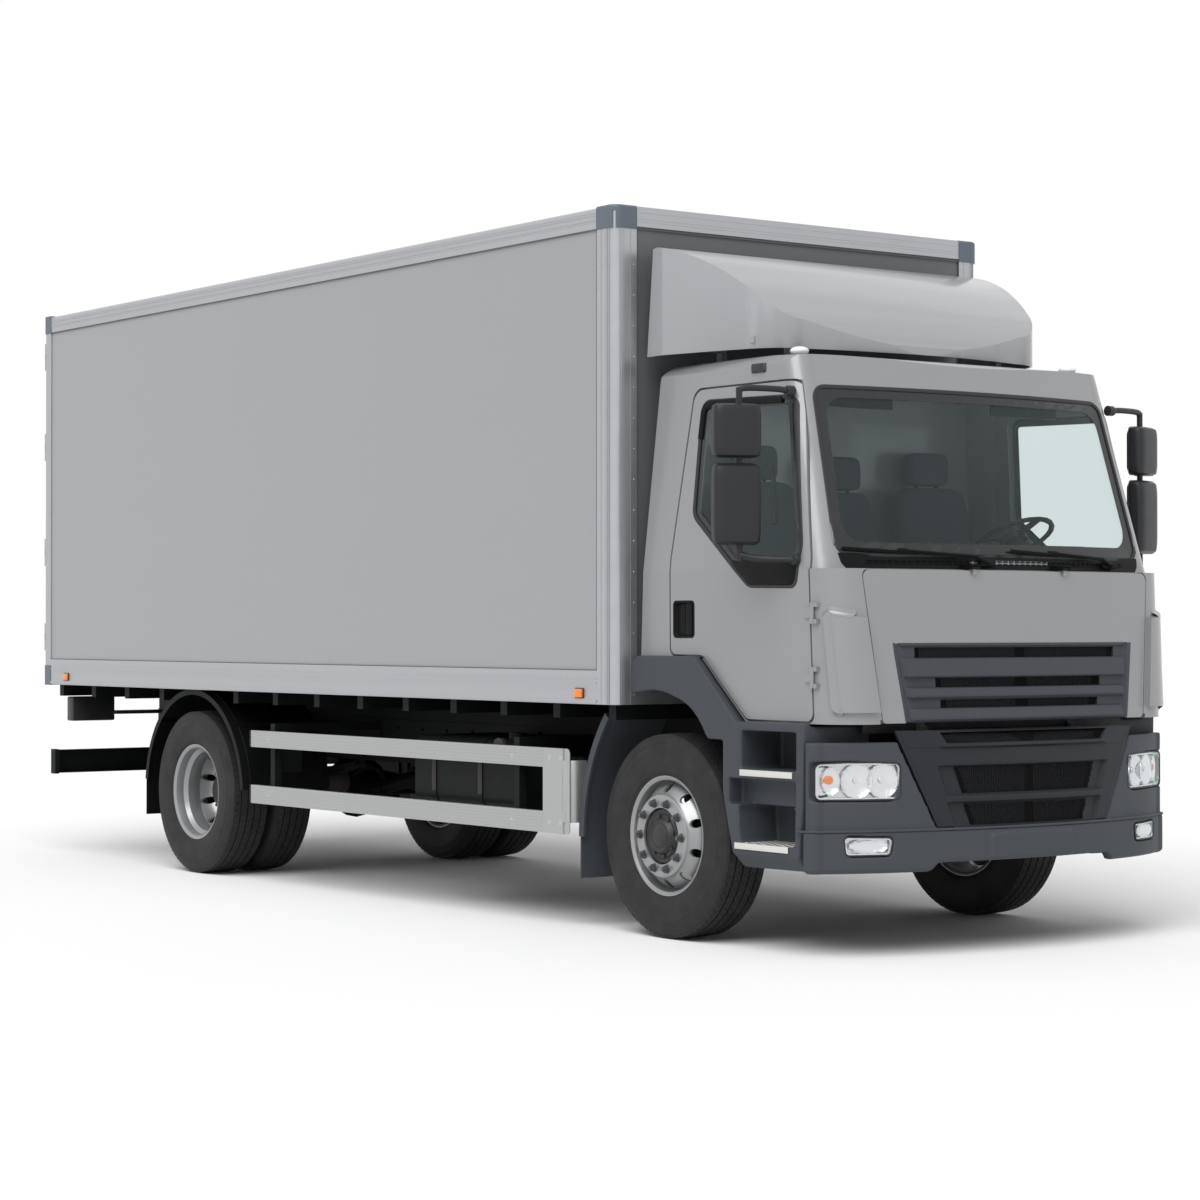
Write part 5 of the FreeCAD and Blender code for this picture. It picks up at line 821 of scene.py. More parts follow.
def relief(bm, rows, place):
    """Moulded front: each row is its height z, then half widths of edge, well and pit, then how
    far edge, base, well and pit stand out. Its sides are turned back."""
    grid = []
    for z, edge, well, pit, out_edge, out_base, out_well, out_pit in rows:
        right = [(pit * k / 8, out_pit) for k in range(9)]
        right += [(pit + 0.003, out_well), (well, out_well), (well + 0.018, out_base),
                  (edge - 0.022, out_base), (edge - 0.012, out_edge), (edge, out_edge)]
        line = [(-y, o) for y, o in reversed(right[1:])] + right
        grid.append([bm.verts.new(place(y, z, o)) for y, o in line])
    join_rings(bm, grid, closed=False)
    for i, way in ((0, -1), (-1, 1)):
        back = [bm.verts.new(place(way * row[1], row[0], row[4] - 0.022)) for row in rows]
        join_rings(bm, [[line[i] for line in grid], back], closed=False)


# Heights of the grille's rows with how far each stands out, and 1 where it is a mesh slot.
GRILLE_ROWS = (
    (1.4715, -0.020, 0), (1.4715, 0.003, 0), (1.4600, 0.003, 0), (1.4570, -0.010, 0),
    (1.4525, -0.010, 0), (1.4515, -0.010, 1), (1.4035, -0.010, 1), (1.4025, -0.010, 0),
    (1.4000, -0.004, 0), (1.3960, 0.002, 0), (1.3250, 0.015, 0), (1.3170, 0.0165, 0),
    (1.3120, 0.0120, 0), (1.3090, -0.010, 0), (1.3075, -0.010, 1), (1.2650, -0.010, 1),
    (1.2635, -0.006, 0), (1.2590, 0.004, 0), (1.2280, 0.0165, 0), (1.2190, 0.0165, 0),
    (1.2130, 0.006, 0), (1.2060, -0.010, 0), (1.2040, -0.010, 1), (1.1680, -0.010, 1),
    (1.1665, -0.006, 0), (1.1620, 0.003, 0), (1.1230, 0.0185, 0), (1.1130, 0.0180, 0),
    (1.1060, 0.006, 0), (1.1000, -0.020, 0))
# The same for the bumper's insert: height, how far base and well stand out, 1 where it is an
# opening, and which opening it is level with.
INSERT_ROWS = (
    (1.0635, 0, 0, 0, 0), (1.0560, 0.004, 0.004, 0, 0), (1.0520, 0.004, 0.004, 0, 0),
    (1.0505, 0.004, 0.004, 1, 0), (1.0025, 0.004, 0.004, 1, 0), (1.0000, 0.004, 0.006, 0, 0),
    (0.9860, 0.004, 0.008, 0, 0), (0.9800, 0.0, -0.006, 0, 0), (0.9740, 0.0, -0.004, 0, 1),
    (0.9100, 0.004, 0.006, 0, 1), (0.8980, 0.004, 0.004, 0, 1), (0.8880, 0.004, -0.016, 0, 1),
    (0.8865, 0.004, -0.016, 1, 1), (0.7650, 0.002, -0.012, 1, 1), (0.7630, 0.002, -0.010, 0, 1),
    (0.7520, 0.002, 0.009, 0, 1), (0.7400, 0.002, 0.012, 0, 1), (0.7260, 0.002, 0.009, 0, 1),
    (0.7160, 0.002, -0.014, 0, 2), (0.7110, 0.002, -0.016, 1, 2), (0.6150, 0.002, -0.010, 1, 2),
    (0.6120, 0.002, -0.008, 0, 2), (0.6050, 0.0, 0.004, 0, 2), (0.6005, -0.016, -0.016, 0, 2))


def grille_rows():
    """Top frame, mesh strip, then three slats that lean forward over two mesh slots."""
    for z, out, slot in GRILLE_ROWS:
        half = 0.7345 + (z - 1.099) / 0.373 * 0.0560
        pit = SLOTS[0 if z > 1.39 else 1 if z > 1.235 else 2][2]
        edge, base = (0.003, -0.006) if out > -0.019 else (-0.020, -0.020)
        yield z, half, half - 0.052, pit, edge, base, out, -0.026 if slot else out


def insert_rows():
    """Raised U round the top opening, then two openings with sloping flats beside them."""
    for z, base, well, opened, o in INSERT_ROWS:
        edge = 0.5585 + (z - 0.600) / 0.464 * 0.235
        z0, z1, top, low = OPENINGS[o]
        pit = low + (top - low) * min(1, max(0, (z - z0) / (z1 - z0)))
        beside = min(pit + (0.085 if o else 0.020), edge - 0.060)
        yield z, edge, beside, pit, min(0, base) - 0.002, base, well, -0.018 if opened else well


def on_insert(s, z, out=0.0):
    """Point on the insert, kept behind the slope that the tilting cab's floor passes over."""
    p = on_bumper(s, z, out + 0.002)
    slope = 4.168 - 0.286 * min(max(z - 0.900, 0), 0.105) - 0.764 * max(z - 1.005, 0)
    p.x = min(p.x, slope + out)
    return p


# A darker grained moulding than the bumper round it.
insert_plastic = finish("darker moulded plastic", "#27292D", 0.5, vary=0.04, patch=150, grain=0.5,
                        grain_mm=1.2, specular=0.2)
# Thin black ribs that show only as a texture before the dark behind them; that dark is the same
# black, laid in sheets behind the slots and openings as painted shade.
mesh_and_shade_black = finish("black mesh and painted shade", "#0A0B0C", 0.6, vary=0.1, patch=40, specular=0.15)
bm = bmesh.new()
relief(bm, list(grille_rows()), on_front)
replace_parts(piece("grille_face", bm, dark_plastic, "front_lid", smooth=14),
            "grille")
bm = bmesh.new()
relief(bm, list(insert_rows()), on_insert)
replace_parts(piece("bumper_insert", bm, insert_plastic, "chassis", smooth=14),
            "bumper_grille")
bm = bmesh.new()
for z0, z1, half in SLOTS:
    honeycomb(bm, z0, z1, half, half - 0.006, on_front, -0.0145)
    # A black sheet behind the mesh: painted shade for the hollow behind the slot.
    band(bm, *[rectangle(-h, h, z0, z1, 0.001, 16) for h in (half, 0.0005)],
         on_front, -0.0245, 0.001)
piece("grille_mesh", bm, mesh_and_shade_black, "front_lid")
bm = bmesh.new()
for z0, z1, top, low in OPENINGS:
    honeycomb(bm, z0, z1, top, low, on_insert, -0.008, cell=0.0145)
    # A black sheet behind the mesh: painted shade for the hollow behind the opening.
    band(bm, *[round_loop([(-low * h, z0), (low * h, z0), (top * h, z1), (-top * h, z1)], 0.001,
                          16) for h in (1, 0.001)], on_insert, -0.0165, 0.001)
piece("bumper_mesh", bm, mesh_and_shade_black, "chassis")

# Sooty fins, almost black, that the mesh is seen against; the same black makes the sheet of
# painted shade in the gap under the grille.
fins_and_gap_shade = finish("black radiator fins and gap shade", "#101112", 0.6, vary=0.2, patch=30, grain=0.8, grain_mm=2)
bm = bmesh.new()
block(bm, 3.905, 3.925, -0.430, 0.430, 0.700, 1.060, 0.006)
for i in range(34):
    z = 0.712 + i * 0.0102
    block(bm, 3.925, 3.931, -0.420, 0.420, z, z + 0.004)
piece("cooler_core", bm, fins_and_gap_shade, "chassis")
# Black sheet behind the gap between grille and bumper: painted shade for the hollow there.
bm = bmesh.new()
block(bm, 3.900, 3.912, -0.860, 0.860, 1.046, 1.125, 0.004)
piece("gap_shade_sheet", bm, fins_and_gap_shade, "cab")

# A narrow line of shade, as an open joint gives.
groove = finish("shadowed panel gap", "#1E1F21", 0.7, vary=0.05, patch=40)
bm = bmesh.new()
seal(bm, rectangle(-0.262, 0.262, 0.455, 0.563, 0.012, 6), on_bumper, 0.0035, -0.0034, low=-0.008)
piece("plate_outline", bm, groove, "chassis")


# ---- lamps ----
# Clear-lensed headlamps with two faceted bowls and an amber bulb, fog lamps, amber side
# markers on black bases, and three-colour tail lamps.

# Vapour-coated plastic: a bright mirror, broken up by the bowl's flutes.
mirror_metal = finish("aluminised reflector", "#EAEBED", 0.14, metallic=0.95, vary=0.06, patch=12)
pale_metal = finish("satin lamp bezel", "#E3E4E5", 0.22, metallic=0.7, vary=0.06, patch=20)
# Smooth black housings, a little glossier than the grained mouldings.
lamp_black = finish("black lamp housing", "#202123", 0.4, vary=0.06, patch=60)
# Glossy coloured plastics whose tint is slightly uneven.
amber = finish("amber lamp plastic", "#EA7D0C", 0.28, vary=0.1, patch=14, coat=0.6)
red = finish("red lamp plastic", "#9A1412", 0.25, vary=0.1, patch=14, coat=0.6)
white_lens = finish("clear ribbed lamp plastic", "#E9E9E7", 0.25, vary=0.08, patch=10, coat=0.6)
HEAD = ((0.762, 0.743), (0.762, 0.916), (1.030, 0.918), (1.188, 0.912), (1.188, 0.744))
FOG = ((0.822, 0.486), (0.806, 0.566), (1.052, 0.573), (1.040, 0.486))
BOWLS_AT, BOWL_Z, MOUTH = (0.852, 0.982), 0.830, -0.0085
MARKERS_X, TAIL_X = (2.140, -3.820), -3.9985


def frame_at(place, s, z, out):
    """Origin, sideways, up and outward directions on a skin."""
    p = place(s, z, out)
    n = (place(s, z, out + 0.01) - p).normalized()
    side = (place(s + 0.004, z, out) - place(s - 0.004, z, out)).normalized()
    return p, side, n.cross(side).normalized() * (1 if n.cross(side).z > 0 else -1), n


def bowl(bm, place, s, z, out, ra, rb, depth, flutes=16):
    """Fluted reflector bowl: an ellipse ra by rb whose bottom lies depth behind its mouth."""
    p, side, up, n = frame_at(place, s, z, out)
    rings = []
    for f, d in ((1.0, 0.0), (0.86, 0.35), (0.66, 0.65), (0.42, 0.85), (0.22, 0.96), (0.0, 1.0)):
        wave = [(f * (1.0 if k % 2 else 0.965), pi * k / flutes) for k in range(flutes * 2)]
        rings.append([bm.verts.new(p + side * ra * g * cos(a) + up * rb * g * sin(a)
                                   - n * depth * d) for g, a in wave])
    join_rings(bm, rings)


def ring_at(bm, place, s, z, out, ra, rb, width, tall):
    """Raised rim round an ellipse ra by rb."""
    p, side, up, n = frame_at(place, s, z, out)
    rings = []
    for grow, h in ((0, 0), (0.2, tall), (0.8, tall), (1, 0)):
        rings.append([bm.verts.new(p + side * (ra + width * grow) * cos(a)
                                   + up * (rb + width * grow) * sin(a) + n * h)
                      for a in (2 * pi * k / 40 for k in range(40))])
    join_rings(bm, rings)


def lamp_skin(way, proud=0.0):
    """Places points on one side of the bumper; the lower bumper stands a little proud."""
    return lambda s, z, out=0.0: on_bumper(way * s, z, out + proud)


head = round_loop(HEAD, [0.024, 0.028, 0.200, 0.030, 0.030], 10)
fog = round_loop(FOG, 0.020, 8)
for side, way in SIDES:
    place, low_place = lamp_skin(way), lamp_skin(way, 0.012)
    lamps = ((place, head), (low_place, fog))
    bm = bmesh.new()
    for at, loop in lamps:
        patch(bm, shrink(loop, 0.002), at, -0.0270, 0.003, rings=5)
        band(bm, shrink(loop, 0.0015), shrink(loop, 0.0035), at, -0.0035, 0.024)
    piece("lamp_pans_" + side, bm, pale_metal, "chassis")
    bm = bmesh.new()
    for s in BOWLS_AT:
        bowl(bm, place, s, BOWL_Z, MOUTH, 0.078, 0.080, 0.018)
    bowl(bm, place, 1.108, 0.832, MOUTH, 0.046, 0.066, 0.017, 9)
    bowl(bm, low_place, 0.930, 0.529, -0.0080, 0.098, 0.037, 0.018, 12)
    piece("lamp_bowls_" + side, bm, mirror_metal, "chassis", smooth=12)
    bm = bmesh.new()
    for s in BOWLS_AT:
        ring_at(bm, place, s, BOWL_Z, MOUTH, 0.077, 0.079, 0.0035, 0.003)
        p, _, _, n = frame_at(place, s, 0.832, -0.024)
        rod(bm, p, p + n * 0.012, 0.015, 0.012, sides=20)
    for (at, loop), inset in zip(lamps, (0.011, 0.010)):
        band(bm, shrink(loop, 0.004), shrink(loop, inset), at, -0.006, 0.012)
    piece("lamp_bezels_" + side, bm, pale_metal, "chassis")
    bm = bmesh.new()
    p, _, _, n = frame_at(place, 1.112, 0.836, -0.024)
    rod(bm, p, p + n * 0.014, 0.021, 0.016, sides=20)
    piece("signal_bulb_" + side, bm, amber, "chassis")
    bm = bmesh.new()
    for (at, loop), rings in zip(lamps, (6, 5)):
        patch(bm, shrink(loop, 0.0025), at, -0.0022, 0.002, rings=rings)
    covers = piece("lamp_covers_" + side, bm, lens, "chassis")
    if way > 0:
        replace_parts(covers, "lamp_units")
    bm = bmesh.new()
    for (at, loop), width in zip(lamps, (0.007, 0.006)):
        seal(bm, loop, at, width, 0.001, low=-0.010)
    piece("lamp_seals_" + side, bm, seal_rubber, "chassis")

    bm, bases = bmesh.new(), bmesh.new()
    for x in MARKERS_X:
        block(bm, x + 0.006, x + 0.070, way * BOX_HALF, way * (BOX_HALF + 0.0155), 1.189, 1.233,
              0.004)
        block(bases, x, x + 0.076, way * (BOX_HALF - 0.001), way * (BOX_HALF + 0.0055), 1.184,
              1.238, 0.003)
    piece("marker_lenses_" + side, bm, amber, "chassis")
    block(bases, -3.990, -3.895, way * 0.832, way * 1.148, 0.907, 1.073, 0.010)
    block(bases, -3.940, -3.850, way * 0.430, way * 0.840, 0.950, 0.975, 0.003)
    piece("lamp_bases_" + side, bases, lamp_black, "chassis")
    for name, y0, y1, mat in (("tail_red_", 0.840, 0.975, red),
                              ("tail_amber_", 0.981, 1.066, amber),
                              ("tail_white_", 1.072, 1.140, white_lens)):
        bm = bmesh.new()
        block(bm, TAIL_X, TAIL_X + 0.0135, way * y0, way * y1, 0.917, 1.063, 0.004)
        for z in (0.926 + i * 0.0155 for i in range(9)):
            block(bm, TAIL_X - 0.0013, TAIL_X + 0.0005, way * (y0 + 0.006), way * (y1 - 0.006), z,
                  z + 0.006)
        piece(name + side, bm, mat, "chassis")


# ---- cowl, wipers and panel details ----
# Black louvred cowl between lid and windscreen with the lid's hinge covers, two plain wipers
# parked over it, and black strips in the air slot of each corner deflector as painted shade.
HINGE_COVERS_Y, COVER_TOP = (-0.300, 0.300), 1.8440
WIPERS = ((-0.170, 0.800), (0.713, 0.705))
bm = bmesh.new()
cowl = ((-0.962, 1.8225), (0.962, 1.8225), (0.985, 1.850), (0.994, 1.893), (-0.994, 1.893),
        (-0.985, 1.850))
patch(bm, even(cowl, 24, closed=True), on_front, 0.0030, 0.004, rings=4)
for i in range(-22, 23):
    for rise in (0.0, 0.014):
        a, b = [on_front(i * 0.038 + dy, 1.846, 0.003) + Vector((0, 0, rise))
                for dy in (-0.013, 0.013)]
        rod(bm, a, b, 0.0035, sides=6)
for y in HINGE_COVERS_Y:
    block(bm, 4.000, 4.090, y - 0.027, y + 0.027, COVER_TOP - 0.0052, COVER_TOP, 0.002)
    for a in (y - 0.0275, y + 0.0245):
        block(bm, 4.000, 4.090, a, a + 0.003, 1.8225, COVER_TOP)
piece("cowl", bm, black_plastic, "cab")

bm, blades = bmesh.new(), bmesh.new()
for y, reach in WIPERS:
    base = on_front(y, 1.850, 0.004)
    block(bm, base.x - 0.006, base.x + 0.026, y - 0.050, y + 0.050, 1.836, 1.872, 0.008)
    rod(bm, base, base + Vector((0.036, 0, 0.004)), 0.014, 0.012, sides=20)
    knee, elbow, grip = [on_front(y - share * reach, z, out) for share, z, out in
                         ((0.10, 1.874, 0.036), (0.50, 1.898, 0.024), (0.60, 1.905, 0.020))]
    for p, q, r0, r1 in ((base + Vector((0.032, 0, 0.002)), knee, 0.012, 0.010),
                         (knee, elbow, 0.009, 0.006), (elbow, grip, 0.006, 0.005)):
        rod(bm, p, q, r0, r1, sides=10)
    block(bm, grip.x - 0.010, grip.x + 0.004, grip.y - 0.030, grip.y + 0.030, grip.z - 0.006,
          grip.z + 0.008, 0.003)
    last = None
    for i in range(13):
        f = 0.22 + 0.78 * i / 12
        p = on_front(y - f * reach, 1.884 + 0.030 * i / 12, 0.0035)
        top = p + Vector((0.011 + 0.002 * sin(pi * i / 12), 0, 0.004))
        if last:
            rod(bm, last[1], top, 0.0050, sides=8)
            rod(blades, last[0], p, 0.0028, sides=6)
        last = (p, top)
piece("wiper_rubbers", blades, seal_rubber, "cab")
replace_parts(piece("wiper_arms", bm, black_plastic, "cab"), "wipers")

# Black strips standing out in each corner deflector's air slot: painted shade for the slot's
# hollow.
bm = bmesh.new()
for way in (1, -1):
    for foot in (1.185, 1.265, 1.345, 1.425, 1.505):
        low, high, ahead = [on_front(way * (0.8755 + (z - 1.0) * 0.1185), z, out) for z, out in
                            ((foot, 0.0045), (foot + 0.070, 0.0045), (foot, 0.02))]
        n = (ahead - low).normalized() * 0.015
        bm.faces.new([bm.verts.new(c - Vector((0, way * 0.0006, 0)))
                      for c in (low, high, high + n, low + n)])
piece("deflector_slot_shade", bm, mesh_and_shade_black, "cab")


# ---- entry steps ----
# Pressed aluminium treads on both steps of each side: a folded front edge and rows of
# raised, drilled gripping holes, screwed down on the moulded step.
TREADS = ((3.384, 3.773, -1.1745, -0.932, 0.866), (3.344, 3.743, -1.1745, -0.942, 0.516))
HOLE_PITCH, HOLE_R = 0.036, 0.0085
# Bare pressed sheet, the brightest thing low on the cab.
tread_metal = finish("pressed aluminium tread", "#D9D8D4", 0.36, metallic=0.7, vary=0.06, patch=50,
                     grain=0.3)
# The shade inside each drilled hole.
hole_dark = finish("drilled hole shade", "#171718", 0.8, vary=0.05, patch=30)
for side, way in SIDES:
    bm, dark = bmesh.new(), bmesh.new()
    for x0, x1, y0, y1, z in TREADS:
        for y, low in ((y1, z), (y0 - 0.0030, z - 0.027)):
            block(bm, x0, x1, -way * y0, -way * y, low, z + 0.0032, 0.0012)
        for i, x in enumerate(row(x0 + 0.022, x1 - 0.022, HOLE_PITCH)):
            for k in range(5 + i % 2):
                y = -way * (y0 + 0.028 + (k + 0.5 * (1 - i % 2)) * HOLE_PITCH)
                rod(bm, (x, y, z + 0.003), (x, y, z + 0.0052), HOLE_R * 1.25, HOLE_R, 14)
                rod(dark, (x, y, z + 0.005), (x, y, z + 0.0055), HOLE_R * 0.72, sides=12)
    piece("step_treads_" + side, bm, tread_metal, "chassis")
    piece("tread_holes_" + side, dark, hole_dark, "chassis")


# ---- mirrors ----
# Each side carries two moulded heads on one bent tube: the backs swell forwards and round off
# towards every edge, the mirror glass looks rearwards out of a raised rim.
HEADS = ((2.340, 2.592), (1.930, 2.312))
HEAD_X, HEAD_Y, HEAD_TURN = 3.592, 1.362, radians(20)
HEAD_HALF, HEAD_DEEP, PANE_HALF = 0.1174, 0.046, 0.118
ARM = ((3.635, 1.080, 2.662), (3.630, 1.150, 2.668), (3.600, 1.300, 2.668), (3.588, 1.338, 2.655),
       (3.588, 1.342, 2.600), (3.588, 1.342, 1.915), (3.596, 1.334, 1.885), (3.650, 1.262, 1.866),
       (3.728, 1.150, 1.862), (3.740, 1.118, 1.862))
ARM_R, ARM_FEET = 0.0152, ((3.635, 1.080, 2.662, 0.0262), (3.740, 1.126, 1.862, 0.0282))
CLAMPS_Z = (2.352, 2.580, 1.945, 2.298)


def sweep(bm, points, radius, sides=14):
    """Round tube along points, turned evenly through its bends."""
    points = [Vector(p) for p in points]
    fine = [0.5 * (2 * b + (c - a) * t + (2 * a - 5 * b + 4 * c - d) * t * t
                   + (3 * b - a - 3 * c + d) * t ** 3)
            for a, b, c, d in zip(points[:1] + points, points, points[1:],
                                  points[2:] + points[-1:])
            for t in (k / 6 for k in range(6))] + points[-1:]
    rings, side = [], None
    for p, back, on in zip(fine, fine[:1] + fine, fine[1:] + fine[-1:]):
        t = (on - back).normalized()
        side = (t.orthogonal() if side is None else side - t * side.dot(t)).normalized()
        up = t.cross(side)
        rings.append([bm.verts.new(p + radius * (side * cos(a) + up * sin(a)))
                      for a in (2 * pi * k / sides for k in range(sides))])
    join_rings(bm, rings, ends=True)


def head_point(u, v, z, way):
    """Point of a mirror head, u across it and v ahead of its middle."""
    c, s = cos(HEAD_TURN), sin(HEAD_TURN)
    return HEAD_X + v * c - u * s, way * (HEAD_Y + v * s + u * c), z


def shell_ring(bm, z, half, front, way, parts=40):
    """One level of a mirror head: a blunt oval, fuller in front than at the glass side."""
    ring = []
    for c, s in ((cos(2 * pi * k / parts), sin(2 * pi * k / parts)) for k in range(parts)):
        u = half * abs(s) ** 0.42 * (1 if s > 0 else -1)
        v = front * c ** 0.62 if c > 0 else -HEAD_DEEP * abs(c) ** 0.35
        ring.append(bm.verts.new(head_point(u, v, z, way)))
    return ring


# Satin moulded backs that show long soft highlights.
mirror_plastic = finish("black satin mirror housing", "#26272A", 0.38, vary=0.05, patch=80,
                        grain=0.25, specular=0.3)
# Silvered glass, which shows only what is mirrored in it.
mirror_glass, tree = new_material("silvered mirror glass")
finish_tree(tree, add(tree, "BsdfPrincipled", Base_Color=srgb("#D2D8DA"), Roughness=0.03,
                      Metallic=1.0))
for side, way in SIDES:
    bm, panes = bmesh.new(), bmesh.new()
    for z0, z1 in HEADS:
        rings, mid, tall = [], (z0 + z1) / 2, (z1 - z0) / 2
        for k in range(-8, 9):
            t = abs(k / 8) ** 0.6 * (1 if k > 0 else -1)
            f = max(0.0, 1 - abs(t) ** 5) ** 0.28
            rings.append(shell_ring(bm, mid + t * tall, HEAD_HALF * (0.80 + 0.20 * f),
                                    HEAD_DEEP * (0.45 + 0.55 * f), way))
        join_rings(bm, rings, ends=True)
        join_rings(panes, [[panes.verts.new(head_point(p.x, out, p.y, way)) for p in rectangle(
            inset - PANE_HALF, PANE_HALF - inset, z0 + inset, z1 - inset, 0.030, 6)]
                           for out, inset in ((-0.0462, 0.016), (-0.0470, 0.0165))], ends=True)
    sweep(bm, [(x, way * y, z) for x, y, z in ARM], ARM_R)
    for x, y, z, r in ARM_FEET:
        lathe(bm, ((-0.026, 0.0), (-0.026, r), (0.008, r), (0.018, r * 0.8), (0.021, 0.0)),
              x, way * y, z, way, 24)
    for z in CLAMPS_Z:
        block(bm, 3.570, 3.606, way * 1.318, way * 1.352, z - 0.016, z + 0.016, 0.004)
    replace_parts(piece("mirror_heads_" + side, bm, mirror_plastic, side + "_door",
                      40), "mirror_" + side)
    piece("mirror_panes_" + side, panes, mirror_glass, side + "_door")


# ---- hinge caps ----
# Painted sleeves round the hinge pins of the cab doors, with the lands that carry them, and
# black sleeves round the pins of the front lid.
DOOR_HINGES_Z, HINGE_TALL = (1.290, 1.590), 0.044
HINGE_X, HINGE_Y, HINGE_R = 3.858, 1.126, 0.0108
LID_PIN_X, LID_PIN_Y, LID_PIN_Z, LID_CAP_R = 4.078, 0.300, 1.830, 0.0095
bm, black = bmesh.new(), bmesh.new()
for side, way in SIDES:
    lands = bmesh.new()
    for z in DOOR_HINGES_Z:
        rod(bm, (HINGE_X, way * HINGE_Y, z - 0.0275),
            (HINGE_X, way * HINGE_Y, z + HINGE_TALL + 0.0275), HINGE_R, sides=32)
        for form, x0, x1 in ((bm, 3.8600, 3.8800), (lands, 3.8260, 3.8560)):
            patch(form, rectangle(x0, x1, z - 0.004, z + HINGE_TALL + 0.004, 0.002, 4),
                  on_side(way), 0.0012, 0.003, rings=3)
    piece("hinge_lands_" + side, lands, cab_paint, side + "_door")
    rod(black, (LID_PIN_X, way * LID_PIN_Y - 0.0235, LID_PIN_Z),
        (LID_PIN_X, way * LID_PIN_Y + 0.0235, LID_PIN_Z), LID_CAP_R)
piece("door_hinge_caps", bm, cab_paint, "cab")
piece("lid_hinge_caps", black, black_plastic, "cab")


# ---- air deflectors ----
# Rounded flanks that lead up to the raised deflector on each corner panel: pressed with it and
# painted with the cab. Each row of a flank is its distance inwards and how far it stands out.
FLANK = ((3.990, 1.148), (3.976, 1.149), (3.965, 1.162), (3.960, 1.220), (3.925, 1.585),
         (3.925, 1.606), (3.936, 1.620), (3.955, 1.617), (4.003, 1.604))
FLANK_ROWS = ((0.020, 0.0004), (0.014, 0.0050), (0.008, 0.0140), (0.002, 0.0212),
              (-0.006, 0.0245), (-0.016, 0.0252))
path = even(FLANK, 6)
for side, way in SIDES:
    bm, place, rings = bmesh.new(), on_side(way), []
    for i, p in enumerate(path):
        t = (path[min(i + 2, len(path) - 1)] - path[max(i - 2, 0)]).normalized()
        rings.append([bm.verts.new(place(*(p + Vector((-t.y, t.x)) * a), h))
                      for a, h in FLANK_ROWS])
    join_rings(bm, rings, closed=False)
    piece("deflector_flanks_" + side, bm, cab_paint, "cab", 60)


# ---- cab side trim ----
# Moulded parts on each side of the cab: rain deflector, mirror foot panel, the dished cup and
# grip of the door handle, side lamp and the roof's round lamp, clipped or screwed on.
CUP, GRIP_Z = (2.790, 2.960, 1.494, 1.676), (1.508, 1.662)
FOOT_PANEL = ((3.232, 1.868), (3.385, 1.748), (3.726, 1.742), (3.752, 1.880))
VISOR = ((2.944, 2.470), (2.954, 2.600), (2.970, 2.630), (3.010, 2.640), (3.300, 2.637),
         (3.560, 2.628))
SIDE_LAMP = ((3.318, 2.768), (3.424, 2.768), (3.416, 2.814), (3.312, 2.814))
ROOF_LAMP_AT, ROOF_LAMP_SIZE = (3.500, 0.900, 2.872), (0.046, 0.046, 0.022, 1)


def cup(bm, loop, place, lip, depth):
    """Dished recess with a narrow raised lip."""
    rings = [[bm.verts.new(place(*p, out)) for p in shrink(loop, inset)] for inset, out in
             ((0.0, -0.004), (0.0, lip), (0.004, lip + 0.0006), (0.009, lip),
              (0.014, -depth * 0.7), (0.022, -depth))]
    join_rings(bm, rings)
    bm.faces.new(rings[-1])


# Frosted plastic that looks evenly white.
dome_lens = finish("frosted lamp cover", "#E9EBED", 0.25, vary=0.02, patch=40, coat=0.3)
foot_panel = round_loop(FOOT_PANEL, [0.012, 0.050, 0.045, 0.012])
for side, way in SIDES:
    place, body = on_side(way), side + "_door"
    bm = bmesh.new()
    seal(bm, even(VISOR, 5), place, 0.034, 0.009, -0.003, closed=False)
    patch(bm, foot_panel, place, 0.0035, 0.009, rings=12, dome=0.016)
    seal(bm, shrink(foot_panel, 0.006), place, 0.012, 0.006)
    piece("window_trim_" + side, bm, black_plastic, body, 40)
    bm = bmesh.new()
    cup(bm, rectangle(*CUP, 0.024, 8), place, 0.0015, 0.020)
    for x0, x1, out, thick in ((2.893, 2.941, 0.0005, 0.022), (2.806, 2.868, -0.016, 0.004)):
        patch(bm, rectangle(x0, x1, *GRIP_Z, 0.012, 8), place, out, thick, rings=5, dome=0.002)
    piece("handle_cup_" + side, bm, black_plastic, body, 40)
    bm = bmesh.new()
    patch(bm, round_loop(SIDE_LAMP, 0.010, 6), place, 0.004, 0.010, dome=0.014)
    piece("side_lamp_" + side, bm, lamp_black, "cab", 40)
    bm = bmesh.new()
    x, y, z = ROOF_LAMP_AT
    bmesh.ops.create_uvsphere(bm, u_segments=32, v_segments=16, radius=1.0, matrix=(
        Matrix.Translation((x, way * y, z)) @ Matrix.Diagonal(ROOF_LAMP_SIZE)))
    piece("roof_lamp_" + side, bm, dome_lens, "cab")


# ---- bumper ledge ----
# The lower bumper stands a little proud of the upper one: the rolled lip along its top edge,
# moulded with it.
LEDGE_Z, LEDGE_OUT = 0.5985, 0.0115
bm = bmesh.new()
seal(bm, [Vector((s, LEDGE_Z)) for s in row(-1.290, 1.290, 0.020)],
     lambda s, z, out: on_bumper(s, z, out + LEDGE_OUT), 0.011, 0.0035, closed=False)
piece("bumper_ledge", bm, plastic, "chassis", 60)


# ---- seats ----
# Driver's, middle and passenger's seat: crowned cushions, backs and headrests in woven cloth
# with sewn channels, each its own pad on a dark frame. Each row is name, Y, width and height.
SEATS = (("driver", 0.620, 0.520, 1.640), ("middle", 0.0, 0.420, 1.600),
         ("passenger", -0.560, 0.520, 1.640))
SEAT_X, FILL, THREADS = 2.675, 0.85, 160.0
